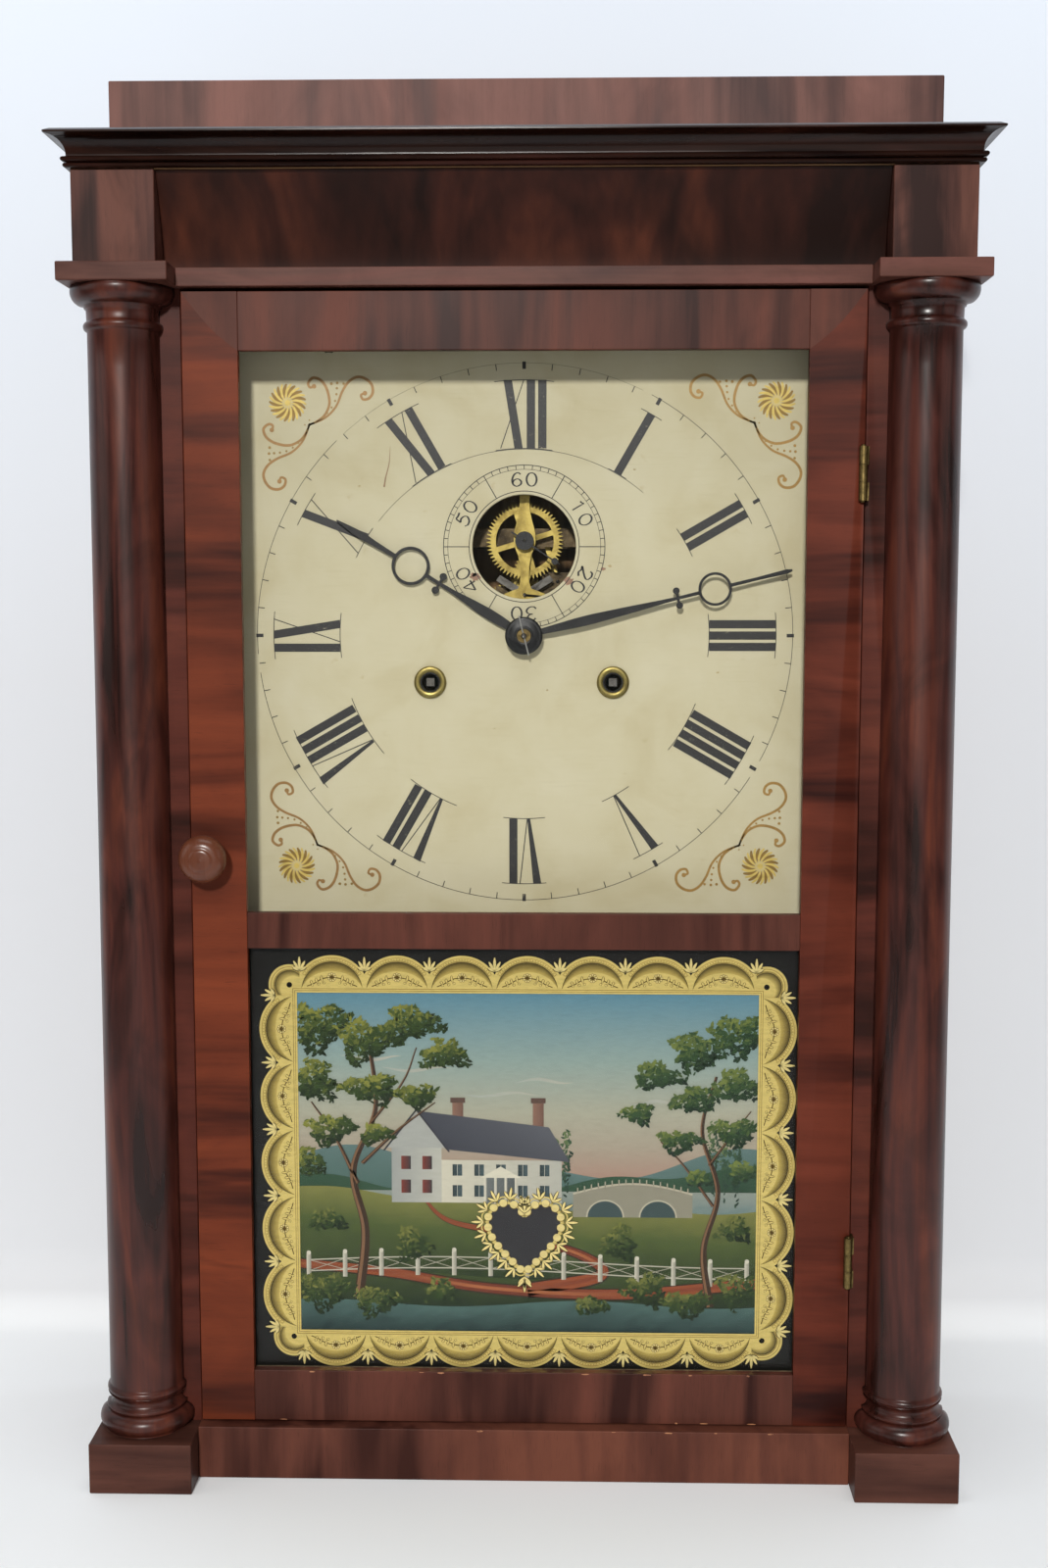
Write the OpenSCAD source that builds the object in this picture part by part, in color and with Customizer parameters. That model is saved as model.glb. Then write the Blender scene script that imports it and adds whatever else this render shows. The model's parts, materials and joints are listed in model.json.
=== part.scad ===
// Weight-driven shelf clock with half columns, cornice, open seconds dial and painted tablet.
// Millimetres. X to the right, Y to the back, Z up. Origin on the floor under the middle of the case.

/* [Case] */
// Height from the floor to the top of the cornice
case_h = 749; // [720:1:780]
// Width of the case box across its sides
case_w = 470; // [466:1:478]
// Depth from the front of the base blocks to the back
case_d = 143; // [138:1:160]
// Width of the door opening between the stiles
opening_w = 372; // [368:1:374]
// Thickness of the side boards
side_t = 12; // [9:0.5:14]
// Thickness of the backboard
back_t = 7; // [5:0.5:9]
// Thickness of the front stiles
stile_t = 14; // [13:0.5:16]
// Thickness of the bottom board
bottom_t = 12; // [8:0.5:16]
// Height of the crest board above the cornice
crest_h = 38; // [25:1:55]
// Width of the crest board
crest_w = 459; // [380:1:476]
// Thickness of the crest board
crest_t = 10; // [6:0.5:16]
// Distance of the crest board behind the stile face
crest_back = 27; // [15:1:60]

/* [Base] */
// Width of a base block
block_w = 58; // [54:1:62]
// Depth of a base block in front of the stile face
block_d = 32; // [29:0.5:36]
// Height of a base block
block_h = 29; // [24:0.5:30]
// Height of the base rail
rail_h = 30.5; // [30:0.5:34]
// How far the base rail stands in front of the stile face
rail_proud = 12; // [8:0.5:18]

/* [Columns] */
// Radius of the shaft at its foot
shaft_r_foot = 21.1; // [18:0.1:22]
// Radius of the shaft at its head
shaft_r_head = 19.6; // [17:0.1:21]
// Radius of the round base moulding
torus_r = 27; // [24:0.5:28]
// Radius of the capital under the abacus
capital_r = 28.3; // [24:0.1:29]
// Height of the turned base of a column
column_base_h = 26; // [22:0.5:32]
// Height of the turned capital of a column
column_cap_h = 24; // [20:0.5:30]
// Distance from the door opening to the middle of a column
column_in = 31.2; // [30:0.1:33]

/* [Entablature] */
// Thickness of the abacus and architrave
abacus_t = 10; // [8:0.5:14]
// Width of an abacus
abacus_w = 59.4; // [56:0.2:64]
// How far an abacus stands in front of the stile face
abacus_proud = 28; // [28:0.5:34]
// How far the architrave stands in front of the stile face
architrave_proud = 8; // [6:0.5:12]
// Height of the frieze
frieze_h = 50; // [40:1:60]
// Width of a frieze block
frieze_block_w = 44.8; // [40:0.2:48]
// How far a frieze block stands in front of the stile face
frieze_proud = 15; // [12:0.5:20]
// Depth of the hollow of the cove frieze
cove_d = 18; // [10:0.5:22]
// Thickness of the top board
top_t = 19; // [16:0.5:24]
// How far the crown moulding stands out from the frieze blocks
crown_out = 11.2; // [9:0.2:14]

/* [Door] */
// Thickness of the door frame
door_t = 20; // [18:0.5:22]
// How far the door stands in front of the stile face
door_proud = 4; // [3:0.5:5]
// Width of a door stile
door_stile_w = 30.5; // [28:0.5:34]
// Height of the top rail of the door
door_top_h = 31.6; // [24:0.2:40]
// Height of the rail between the dial glass and the tablet
door_mid_h = 20.4; // [16:0.2:26]
// Height of the bottom rail of the door
door_bottom_h = 30; // [24:0.5:36]
// Height of the tablet opening
tablet_h = 246.3; // [240:0.5:252]
// Gap between the door and the frame around it
door_gap = 1; // [0.6:0.1:1.4]
// Thickness of the glass
glass_t = 2; // [1.6:0.1:3]
// How far the glass laps over the door frame
glass_lap = 4.5; // [3:0.5:6]
// Thickness of the door frame in front of the glass
glass_lip = 5.5; // [4:0.5:10]
// Height of a hinge
hinge_h = 29; // [24:1:36]
// Height of the upper hinge above the floor
hinge_z_up = 555.5; // [480:0.5:600]
// Height of the lower hinge above the floor
hinge_z_low = 114.5; // [80:0.5:200]
// Radius of a hinge knuckle
knuckle_r = 2.3; // [2:0.1:2.4]
// Radius of the door knob
knob_r = 13.3; // [10:0.1:15]
// Height of the knob above the floor
knob_z = 360; // [357:1:363]
// Distance of the knob from the door's left edge
knob_in = 9; // [9:0.5:12]

/* [Dial] */
// Height of the centre of the hands above the floor
hands_z = 482; // [480:0.5:484]
// Width of the dial panel
dial_w = 398; // [390:1:400]
// Height of the dial panel
dial_h = 340; // [336:1:344]
// Thickness of the dial panel
dial_t = 5; // [4:0.5:6]
// Distance of the dial's face behind the stile face
dial_back = 30; // [29:0.5:31]
// Radius of the round opening over the escape wheel
aperture_r = 29.35; // [27:0.05:31]
// Height of the middle of that opening above the hands
aperture_up = 50; // [49:0.5:51]
// Radius of a brass winding grommet
grommet_r = 9.2; // [8:0.1:11]
// Radius of the hole in a winding grommet
grommet_bore_r = 5; // [4:0.1:6]

/* [Hands] */
// Length of the minute hand
minute_len = 154.8; // [140:0.5:158]
// Length of the hour hand
hour_len = 124; // [110:0.5:130]
// Thickness of the hands
hand_t = 1.1; // [0.8:0.1:1.5]
// Radius of the boss of the minute hand
hand_boss_r = 10.5; // [8:0.5:12]
// Clockwise angle of the minute hand at rest
minute_angle = 76.3; // [0:0.1:360]
// Clockwise angle of the hour hand at rest
hour_angle = 301.5; // [0:0.1:360]
// Clockwise angle of the seconds hand at rest
seconds_angle = 124; // [0:1:360]

/* [Movement] */
// Height of the escape wheel's arbor above the hands
escape_up = 53.6; // [53.2:0.1:54]
// Sideways place of the time winding arbor
time_x = 50.5; // [50:0.1:51]
// Sideways place of the strike winding arbor, to the left
strike_x = 53.5; // [53:0.1:54]
// Distance of the winding arbors below the hands
winding_down = 26.6; // [26:0.1:27]
// Thickness of the plates
plate_t = 2; // [1.6:0.1:2.4]
// Distance between the plates
plate_gap = 33; // [32:0.5:35]
// Distance of the front plate behind the dial panel
plate_back = 16.5; // [16:0.5:17]
// Radius of a winding drum
drum_r = 7; // [6:0.1:8]
// Width of the plates
plate_w = 176; // [174:1:178]
// Height of the plates
plate_h = 163; // [162:0.5:164]
// Depth of the plates below the hands
plate_down = 67; // [66:0.5:68]
// Height of the verge above the hands
verge_up = 23; // [22.5:0.1:23.5]
// Height of the pendulum's suspension above the hands
pendulum_up = 25; // [24:0.5:26]
// Sideways place of the pendulum
pendulum_x = 24; // [23:0.5:25]
// Length of the crutch below the verge
crutch_l = 70; // [60:1:80]
// Length of the pendulum to the middle of its bob
pendulum_len = 248; // [236:1:256]
// Radius of the pendulum bob
bob_r = 27; // [20:0.5:30]
// Depth of the hammer's arbor below the strike winding arbor
hammer_down = 36.6; // [36:0.1:37]
// Height of the gong's middle above the floor
gong_z = 190; // [185:1:200]
// Distance of the gong in front of the backboard
gong_out = 11; // [9:0.5:13]
// Distance from one turn of the gong to the next
gong_step = 9; // [8:0.5:9]

/* [Weights] */
// Radius of a weight
weight_r = 25; // [20:0.5:27]
// Height of a weight
weight_h = 200; // [150:1:220]
// Sideways place of a weight
weight_x = 190; // [186:1:192]
// Radius of the weight cord
cord_r = 1; // [0.8:0.1:1.2]
// Radius of a pulley
pulley_r = 22; // [20:0.5:23]
// Thickness of a pulley
pulley_w = 8; // [7:0.5:9]
// Distance of the pulleys' axles below the top board
pulley_down = 30; // [28:0.5:32]

/* [Hidden] */
$fn = 64;

wood_dark = "#5a2a20";
wood_red = "#6e3022";
pine = "#b08a5c";
brass = "#c9a552";
steel = "#8a8f94";
iron = "#3a3a3c";
ivory = "#e3dcc0";

// Small fits
running = 0.05;
clear = 0.3;
eps = 0.01;

// Planes of the case, front to back
front_y = -case_d / 2;
back_y = case_d / 2;
stile_y = front_y + block_d;
stile_back_y = stile_y + stile_t;
board_y = back_y - back_t;
door_y = stile_y - door_proud;
door_back_y = door_y + door_t;
dial_y = stile_y + dial_back;
dial_back_y = dial_y + dial_t;

// Half widths and heights of the case
half_w = case_w / 2;
inner_half = half_w - side_t;
open_half = opening_w / 2;
frieze_top = case_h - top_t;
frieze_z = frieze_top - frieze_h;
abacus_z = frieze_z - abacus_t;
column_x = open_half + column_in;
frieze_half = column_x + frieze_block_w / 2 + 0.9;
frieze_y = stile_y - frieze_proud;
abacus_in = column_x - abacus_w / 2 - 0.5;
cove_half = frieze_half - frieze_block_w;
cove_low_y = frieze_y + cove_d + 2;

// Door
door_foot_gap = 0.7;
door_head_gap = 2;
door_half = open_half - door_gap;
door_z = rail_h + door_foot_gap;
door_top = abacus_z - door_head_gap;
sight_half = door_half - door_stile_w;
tablet_z = door_z + door_bottom_h;
tablet_top = tablet_z + tablet_h;
dial_open_z = tablet_top + door_mid_h;
dial_open_top = door_top - door_top_h;
rebate_y = door_y + glass_lip;
hinge_x = open_half - 2;
hinge_y = door_y - 2.1;
pin_r = 0.9;
pin_head_r = 1.3;
pin_head_h = 0.8;
leaf_t = 1.2;
case_leaf_y = stile_back_y - 1.5;
door_leaf_y = door_back_y - 4;
knuckle_h = hinge_h / 3;
knuckle_gap = 0.2;
knob_x = -door_half + knob_in;
spindle_r = 3;
tongue_t = 1.5;
tongue_w = 6;
tongue_hub_r = 5;

// Dial, and its cleats on the back of the stiles
cleat_w = 14;
cleat_notch = 15;
dial_z = hands_z - dial_h / 2 + 4;
dial_top = min(dial_z + dial_h, frieze_z - 24);
hands_hole_r = 5.5;
grommet_rim = 2.2;
grommet_flange = 1.2;

// Hands
hour_hand_y = dial_y - 3.5;
minute_hand_y = hour_hand_y - 4;
minute_ring = minute_len * 0.714;
hour_ring = hour_len * 0.606;
centre_r = 2.2;
hour_pipe_r = 3.3;
nose_r = 1.5;
washer_r = 3.9;
washer_t = 0.9;
taper_r = 0.45;
taper_l = 23;
taper_tilt = -14;

// Movement planes
plate_y = dial_back_y + plate_back;
plate_in_y = plate_y + plate_t;
plate2_y = plate_in_y + plate_gap;
plate2_out_y = plate2_y + plate_t;
bridge_y = plate_y - 10.5;
bridge_t = 2;
bridge_foot_r = 2.2;
escape_y = bridge_y + 4.5;
seconds_y = bridge_y - 4.3;
hour_wheel_y = bridge_y + 3;
minute_wheel_y = bridge_y + 6.5;
third_y = plate_in_y + 3;
centre_y = plate_in_y + 6.5;
second_y = plate_in_y + 9.5;
great_y = plate_in_y + 12;
drum_y = great_y + 3;
drum_l = 15;
cord_y = drum_y + drum_l / 2;
crutch_y = bridge_y - 0.9;
wheel_t = 1.5;
great_t = 2;
pinion_l = 3;
pivot_r = 1;
arbor_r = 1.5;
fly_arbor_r = 1.3;
fly_half = 10;
drum_arbor_r = 3;
drum_flange_r = 14;
square_w = 4.6;
plate_half = plate_w / 2;
plate_z = hands_z - plate_down;
plate_top = plate_z + plate_h;
strap_w = 18;
pillar_x = plate_half - 8;
pillar_r = 3.5;
post_r = 4.5;

// Gear sizes: teeth and module
great_teeth = 80;
great_mod = 0.8;
leaf10 = 10;
second_teeth = 60;
second_mod = 0.9;
centre_leaves = 20;
centre_teeth = 80;
centre_mod = 0.8;
third_teeth = 75;
third_mod = 0.7;
escape_teeth = 60;
escape_r = 22;
cannon_leaves = 12;
minute_teeth = 36;
cannon_mod = 0.75;
hour_teeth = 40;
hour_mod = 0.72;
strike2_teeth = 72;
strike2_mod = 0.7;
fly_leaves = 8;

// Arbors, each as a place in the front view
m_pos = [0, hands_z];
e_pos = [0, hands_z + escape_up];
t_pos = [time_x, hands_z - winding_down];
s_pos = [-strike_x, hands_z - winding_down];

function pitch_r(teeth, mod) = teeth * mod / 2;
function dir_angle(a, b) = atan2(b[1] - a[1], b[0] - a[0]);
// Place at distance ra from a and rb from b, on the side given by the sign
function meet(a, ra, b, rb, side) =
    let (d = norm(b - a), u = (b - a) / d, k = (ra * ra - rb * rb + d * d) / (2 * d))
    a + k * u + side * sqrt(ra * ra - k * k) * [-u[1], u[0]];

great_dist = pitch_r(great_teeth + leaf10, great_mod);
second_dist = pitch_r(second_teeth + centre_leaves, second_mod);
centre_dist = pitch_r(centre_teeth + leaf10, centre_mod);
third_dist = pitch_r(third_teeth + leaf10, third_mod);
minute_dist = pitch_r(minute_teeth + cannon_leaves, cannon_mod);
fly_dist = pitch_r(strike2_teeth + fly_leaves, strike2_mod);

s2_pos = meet(t_pos, great_dist, m_pos, second_dist, 1);
third_pos = meet(m_pos, centre_dist, e_pos, third_dist, -1);
minute_pos = m_pos + minute_dist * [cos(225), sin(225)];
k2_pos = s_pos + great_dist * [cos(80), sin(80)];
fly_pos = k2_pos + fly_dist * [cos(75), sin(75)];
verge_pos = [0, hands_z + verge_up];
pend_pos = [pendulum_x, hands_z + pendulum_up];
hammer_pos = s_pos + [3.5, -hammer_down];
gong_pos = [0, gong_z];

// Phase of a wheel that meshes with one whose tooth stands at phase_a, seen at angle phi
function mesh_phase(phase_a, teeth_a, teeth_b, phi) =
    phi + 180 - 360 / teeth_b * (0.5 - (phi - phase_a) / (360 / teeth_a));

great_phase = 0;
s2_pinion_phase = mesh_phase(great_phase, great_teeth, leaf10, dir_angle(t_pos, s2_pos));
second_phase = 3;
centre_pinion_phase = mesh_phase(second_phase, second_teeth, centre_leaves, dir_angle(s2_pos, m_pos));
centre_phase = 1;
third_pinion_phase = mesh_phase(centre_phase, centre_teeth, leaf10, dir_angle(m_pos, third_pos));
third_phase = 0;
escape_pinion_phase = mesh_phase(third_phase, third_teeth, leaf10, dir_angle(third_pos, e_pos));
cannon_phase = 0;
minute_phase = mesh_phase(cannon_phase, cannon_leaves, minute_teeth, dir_angle(m_pos, minute_pos));
minute_pinion_phase = 0;
hour_phase = mesh_phase(minute_pinion_phase, leaf10, hour_teeth, dir_angle(minute_pos, m_pos));
k2_pinion_phase = mesh_phase(great_phase, great_teeth, leaf10, dir_angle(s_pos, k2_pos));
strike2_phase = 0;
fly_phase = mesh_phase(strike2_phase, strike2_teeth, fly_leaves, dir_angle(k2_pos, fly_pos));

// Involute teeth
pressure = 25;
wheel_add = 0.75;
leaf_add = 0.9;
tooth_clear = 0.25;
tooth_thin = 0.1;
rad = 180 / PI;
function inv_deg(a) = tan(a) * rad - a;
function half_tooth(r, teeth, mod) =
    let (rb = pitch_r(teeth, mod) * cos(pressure))
    (PI * mod / 2 - tooth_thin) / (2 * pitch_r(teeth, mod)) * rad + inv_deg(pressure)
    - (r > rb ? inv_deg(acos(rb / r)) : 0);
function tooth_radii(teeth, mod, add, ded) =
    let (r = pitch_r(teeth, mod), rb = r * cos(pressure), low = max(rb, r - ded * mod))
    [r - ded * mod, low, low + (r + add * mod - low) * 0.35,
    low + (r + add * mod - low) * 0.7, r + add * mod];
function gear_points(teeth, mod, add, ded, phase) =
    let (radii = tooth_radii(teeth, mod, add, ded), last = len(radii) - 1)
    [for (i = [0:teeth - 1], j = [0:2 * last + 1])
        let (k = j <= last ? j : 2 * last + 1 - j, side = j <= last ? -1 : 1,
            a = phase + i * 360 / teeth + side * half_tooth(radii[k], teeth, mod))
        radii[k] * [cos(a), sin(a)]];

// Crutch and pendulum
crutch_x = 19.5;
crutch_r = 0.55;
loop_z = verge_pos[1] - crutch_l;
loop_half = 1.15;
rod_r = 0.8;
bob_half_t = 4.2;

// Gong and hammer
gong_wire = 1.25;
gong_turns = 4;
gong_r0 = gong_step - 1;
gong_y = board_y - gong_out;
gong_r = gong_r0 + gong_turns * gong_step;
head_l = 14;
head_r = 5;
head_x = gong_pos[0] - gong_r - gong_wire - 1;
finger_l = 7.2;

// Weights, pulleys and cords
weight_z = rail_h + 1.5;
eye_r = 4.5;
eye_wire = 1.4;
eye_z = weight_z + weight_h + eye_r + 0.2;
eye_top = eye_z + eye_r + eye_wire + clear;
groove_r = pulley_r - 2.2;
run_r = groove_r + clear + cord_r;
pulley_x = weight_x - run_r;
pulley_z = frieze_top - pulley_down;
axle_r = 2;
drum_run_r = drum_r + clear + cord_r;

// Section of the cornice, out from the frieze blocks and up from their top
crown_profile = concat([[0, 0]],
    arc(1.6, 1.4, 1.5, 1.3, -90, 90, 6),
    [[1.4, 2.9]],
    arc(2.2, 4.5, 1.9, 1.5, -90, 90, 6),
    [[1.6, 6.3], [1.6, 7]],
    arc(crown_out - 1.1, 7, crown_out - 2.7, top_t - 9.8, 180, 106, 7),
    [[crown_out, top_t - 2.6], [crown_out, top_t - 1.6], [crown_out - 3, top_t], [0, top_t]]);

// A flat drawing in the front view, made thick from y0 to y0 + t
module slab(y0, t) {
    translate([0, y0 + t, 0])
        rotate([90, 0, 0])
            linear_extrude(height = t) children();
}

// A round bar through the depth at a place in the front view
module bar(pos, r, y0, y1) {
    translate([pos[0], y1, pos[1]])
        rotate([90, 0, 0]) cylinder(r = r, h = y1 - y0);
}

// A board between two corners
module board(low, high) {
    translate(low) cube(high - low);
}

// The same thing on the left and on the right
module both() {
    children();
    mirror([1, 0, 0]) children();
}

// A round rod from one point to another
module rod(a, b, r) {
    d = b - a;
    translate(a)
        rotate([0, acos(d[2] / norm(d)), atan2(d[1], d[0])])
            cylinder(r = r, h = norm(d));
}

// ---- Case ----

module backboard() {
    color(pine) board([-half_w, board_y, 0], [half_w, back_y, frieze_top]);
}

module case_sides() {
    color(wood_dark) both()
        board([inner_half, stile_back_y, 0], [half_w, board_y, frieze_top]);
}

module top_board() {
    color(pine) board([-frieze_half, frieze_y, frieze_top], [frieze_half, back_y, case_h]);
}

module bottom_board() {
    color(pine) board([-inner_half, stile_back_y, rail_h - bottom_t], [inner_half, board_y, rail_h]);
}

// One dial cleat, glued to the back of the right stile
module dial_cleat() {
    board([open_half, stile_back_y, dial_z], [open_half + cleat_w, dial_y, dial_top]);
}

module stile_left() {
    color(wood_dark) mirror([1, 0, 0]) difference() {
        union() {
            board([open_half, stile_y, 0], [half_w, stile_back_y, frieze_z]);
            dial_cleat();
        }
        board([open_half - eps, stile_back_y, knob_z - cleat_notch],
            [half_w, dial_y + eps, knob_z + cleat_notch]);
    }
}

module stile_right() {
    color(wood_dark) difference() {
        union() {
            board([open_half, stile_y, 0], [half_w, stile_back_y, frieze_z]);
            dial_cleat();
        }
        for (z = [hinge_z_low, hinge_z_up])
            board([open_half - eps, stile_y - eps, z], [open_half + leaf_t, case_leaf_y, z + hinge_h]);
    }
}

module base_rail() {
    color(wood_red) board([-open_half, stile_y - rail_proud, 0], [open_half, stile_back_y, rail_h]);
}

module base_blocks() {
    color(wood_red) both()
        board([open_half, front_y, 0], [open_half + block_w, stile_y, block_h]);
}

function arc(cx, cz, rx, rz, a0, a1, steps) =
    [for (i = [0:steps]) let (a = a0 + (a1 - a0) * i / steps) [cx + rx * cos(a), cz + rz * sin(a)]];

// Half profile of a column, from the floor of its base to the abacus
function column_profile() =
    let (z0 = block_h, z1 = abacus_z, zb = z0 + column_base_h, zc = z1 - column_cap_h,
        rb = shaft_r_foot, rh = shaft_r_head)
    concat([[0, z0], [torus_r - 2.6, z0]],
        arc(torus_r - 6, z0 + 5.6, 6, 6, -58, 88, 9),
        [[torus_r - 4, z0 + 12.3], [torus_r - 4, z0 + 13.4]],
        arc(torus_r - 3.4, z0 + 17.2, torus_r - 3.4 - rb + 1.2, 3.6, 260, 110, 7),
        [[rb + 0.3, zb - 5.4]],
        arc(rb - 0.6, zb - 2.9, 2.1, 2.3, -70, 70, 7),
        [[rb, zb], [rh, zc]],
        arc(rh - 0.3, zc + 3, 2.4, 2.6, -70, 70, 7),
        [[rh + 0.2, zc + 6], [rh + 0.4, zc + 12.2], [rh + 1.4, zc + 12.6], [rh + 1.4, zc + 13.6]],
        arc(capital_r - 6.6, z1 - 2.6, 6.6, 7.2, -86, 18, 8),
        [[capital_r - 1.2, z1], [0, z1]]);

// A split turning: half a column, flat against the stile
module column(x) {
    color(wood_dark) translate([x, stile_y, 0])
        rotate([0, 0, 180]) rotate_extrude(angle = 180) polygon(column_profile());
}

module column_left() {
    column(-column_x);
}

module column_right() {
    column(column_x);
}

module abaci() {
    color(wood_red) both()
        board([abacus_in, stile_y - abacus_proud, abacus_z], [abacus_in + abacus_w, stile_y, frieze_z]);
}

module architrave() {
    color(wood_red) {
        board([-abacus_in, stile_y - architrave_proud, abacus_z], [abacus_in, stile_y, frieze_z]);
        board([-open_half, stile_y, abacus_z], [open_half, stile_back_y, frieze_z]);
    }
}

module cove_frieze() {
    steps = 14;
    color(wood_dark) translate([-cove_half, 0, 0])
        rotate([90, 0, 90]) linear_extrude(height = 2 * cove_half)
            polygon(concat(
                [for (i = [0:steps]) let (s = i / steps)
                    [cove_low_y - cove_d * pow(s, 1.5), frieze_z + frieze_h * s]],
                [[stile_back_y, frieze_top], [stile_back_y, frieze_z]]));
}

module frieze_blocks() {
    color(wood_red) both() {
        board([cove_half, frieze_y, frieze_z], [frieze_half, stile_back_y, frieze_top]);
        board([half_w, stile_back_y, frieze_z], [frieze_half, back_y, frieze_top]);
    }
}

module cornice() {
    reach = crown_out + 2;
    color(wood_red) {
        intersection() {
            translate([-frieze_half - reach, frieze_y, frieze_top])
                rotate([90, 0, 90]) linear_extrude(height = 2 * (frieze_half + reach))
                    polygon([for (p = crown_profile) [-p[0], p[1]]]);
            linear_extrude(height = case_h + 1)
                polygon([[-frieze_half, frieze_y], [frieze_half, frieze_y],
                    [frieze_half + reach, frieze_y - reach], [-frieze_half - reach, frieze_y - reach]]);
        }
        both() intersection() {
            translate([frieze_half, back_y, frieze_top])
                rotate([90, 0, 0]) linear_extrude(height = case_d)
                    polygon(crown_profile);
            linear_extrude(height = case_h + 1)
                polygon([[frieze_half, frieze_y], [frieze_half + reach, frieze_y - reach],
                    [frieze_half + reach, back_y], [frieze_half, back_y]]);
        }
    }
}

module crest_board() {
    color(wood_red) board([-crest_w / 2, stile_y + crest_back, case_h],
        [crest_w / 2, stile_y + crest_back + crest_t, case_h + crest_h]);
}

// ---- Dial ----

module dial_panel() {
    color(ivory) slab(dial_y, dial_t) difference() {
        translate([-dial_w / 2, dial_z]) square([dial_w, dial_top - dial_z]);
        translate(m_pos) circle(r = hands_hole_r);
        translate(m_pos + [0, aperture_up]) circle(r = aperture_r);
        for (p = [t_pos, s_pos])
            translate(p) circle(r = grommet_r - grommet_rim);
    }
}

module winding_grommets() {
    color(brass) for (p = [t_pos, s_pos])
        difference() {
            union() {
                bar(p, grommet_r, dial_y - grommet_flange, dial_y);
                bar(p, grommet_r - grommet_rim, dial_y, dial_back_y);
            }
            bar(p, grommet_bore_r, dial_y - 2, dial_back_y + 1);
        }
}

// ---- Door ----

module door_stile() {
    difference() {
        board([sight_half, door_y, door_z], [door_half, door_back_y, door_top]);
        board([sight_half - eps, rebate_y, tablet_z - glass_lap],
            [sight_half + glass_lap, door_back_y + eps, tablet_top + glass_lap]);
        board([sight_half - eps, rebate_y, dial_open_z - glass_lap],
            [sight_half + glass_lap, door_back_y + eps, dial_open_top + glass_lap]);
    }
}

module door_stile_left() {
    color(wood_red) difference() {
        mirror([1, 0, 0]) door_stile();
        bar([knob_x, knob_z], spindle_r + running, door_y - 1, door_back_y + 1);
    }
}

module door_stile_right() {
    color(wood_red) difference() {
        door_stile();
        for (z = [hinge_z_low, hinge_z_up]) {
            board([door_half - leaf_t, door_y - eps, z], [door_half + eps, door_leaf_y, z + hinge_h]);
            translate([hinge_x, hinge_y, z - 1.2]) cylinder(r = knuckle_r + clear, h = hinge_h + 2.4);
        }
    }
}

module rail_rebate(z0, z1) {
    board([-sight_half - eps, rebate_y, z0], [sight_half + eps, door_back_y + eps, z1]);
}

module door_rail(z0, z1, low_lap, high_lap) {
    color(wood_red) difference() {
        board([-sight_half, door_y, z0], [sight_half, door_back_y, z1]);
        if (low_lap) rail_rebate(z0 - eps, z0 + glass_lap);
        if (high_lap) rail_rebate(z1 - glass_lap, z1 + eps);
    }
}

module door_top_rail() {
    door_rail(dial_open_top, door_top, true, false);
}

module door_mid_rail() {
    door_rail(tablet_top, dial_open_z, true, true);
}

module door_bottom_rail() {
    door_rail(door_z, tablet_z, false, true);
}

module glass(z0, z1) {
    color("lightblue", 0.35)
        board([-sight_half - glass_lap, rebate_y, z0 - glass_lap],
            [sight_half + glass_lap, rebate_y + glass_t, z1 + glass_lap]);
}

module dial_glass() {
    glass(dial_open_z, dial_open_top);
}

module tablet_glass() {
    glass(tablet_z, tablet_top);
}

module knuckle(z0, h, bore) {
    translate([hinge_x, hinge_y, z0]) difference() {
        cylinder(r = knuckle_r, h = h);
        translate([0, 0, -1]) cylinder(r = bore, h = h + 2);
    }
}

module hinge_case_leaves() {
    color(brass) for (z = [hinge_z_low, hinge_z_up]) {
        board([open_half, stile_y, z], [open_half + leaf_t, case_leaf_y, z + hinge_h]);
        for (low = [z, z + 2 * knuckle_h]) {
            knuckle(low, knuckle_h, pin_r);
            board([open_half, hinge_y, low], [open_half + leaf_t, stile_y, low + knuckle_h]);
        }
    }
}

module hinge_door_leaves() {
    color(brass) for (z = [hinge_z_low, hinge_z_up]) {
        board([door_half - leaf_t, door_y + 0.5, z], [door_half, door_leaf_y, z + hinge_h]);
        knuckle(z + knuckle_h + knuckle_gap, knuckle_h - 2 * knuckle_gap, pin_r + running);
        board([door_half - leaf_t, hinge_y + pin_r + 0.6, z + knuckle_h + knuckle_gap],
            [door_half - 0.1, door_y + 0.6, z + 2 * knuckle_h - knuckle_gap]);
    }
}

module hinge_pins() {
    color(brass) for (z = [hinge_z_low, hinge_z_up]) {
        translate([hinge_x, hinge_y, z]) cylinder(r = pin_r, h = hinge_h);
        for (end = [z - pin_head_h, z + hinge_h])
            translate([hinge_x, hinge_y, end]) cylinder(r = pin_head_r, h = pin_head_h);
    }
}

// A turned knob: head, neck and spindle, with the brass latch tongue behind the door
module door_knob() {
    k = knob_r;
    color(wood_dark) translate([knob_x, door_y, knob_z])
        rotate([90, 0, 0]) rotate_extrude() polygon(concat(
            [[0, 0], [k * 0.5, 0], [k * 0.5, 1.6], [k * 0.38, 2.6], [k * 0.4, 6]],
            arc(k * 0.5, 13.5, k * 0.5, 7, -85, 90, 14),
            [[k * 0.42, 21.2], [0, 21.8]]));
    color(brass) {
        bar([knob_x, knob_z], spindle_r, door_y, door_back_y + clear);
        slab(door_back_y + clear, tongue_t) {
            translate([knob_x, knob_z]) circle(r = tongue_hub_r);
            translate([knob_x - tongue_w / 2, knob_z]) square([tongue_w, knob_in + 8]);
        }
    }
}

// ---- Hands ----

module hand_ring(at, outer, wall) {
    translate([0, at]) difference() {
        circle(r = outer);
        circle(r = outer - wall);
    }
}

module hand_knobs(at, reach, r) {
    translate([-reach, at - 0.7]) square([2 * reach, 1.4]);
    for (s = [-1, 1])
        translate([s * reach, at]) circle(r = r);
}

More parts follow.
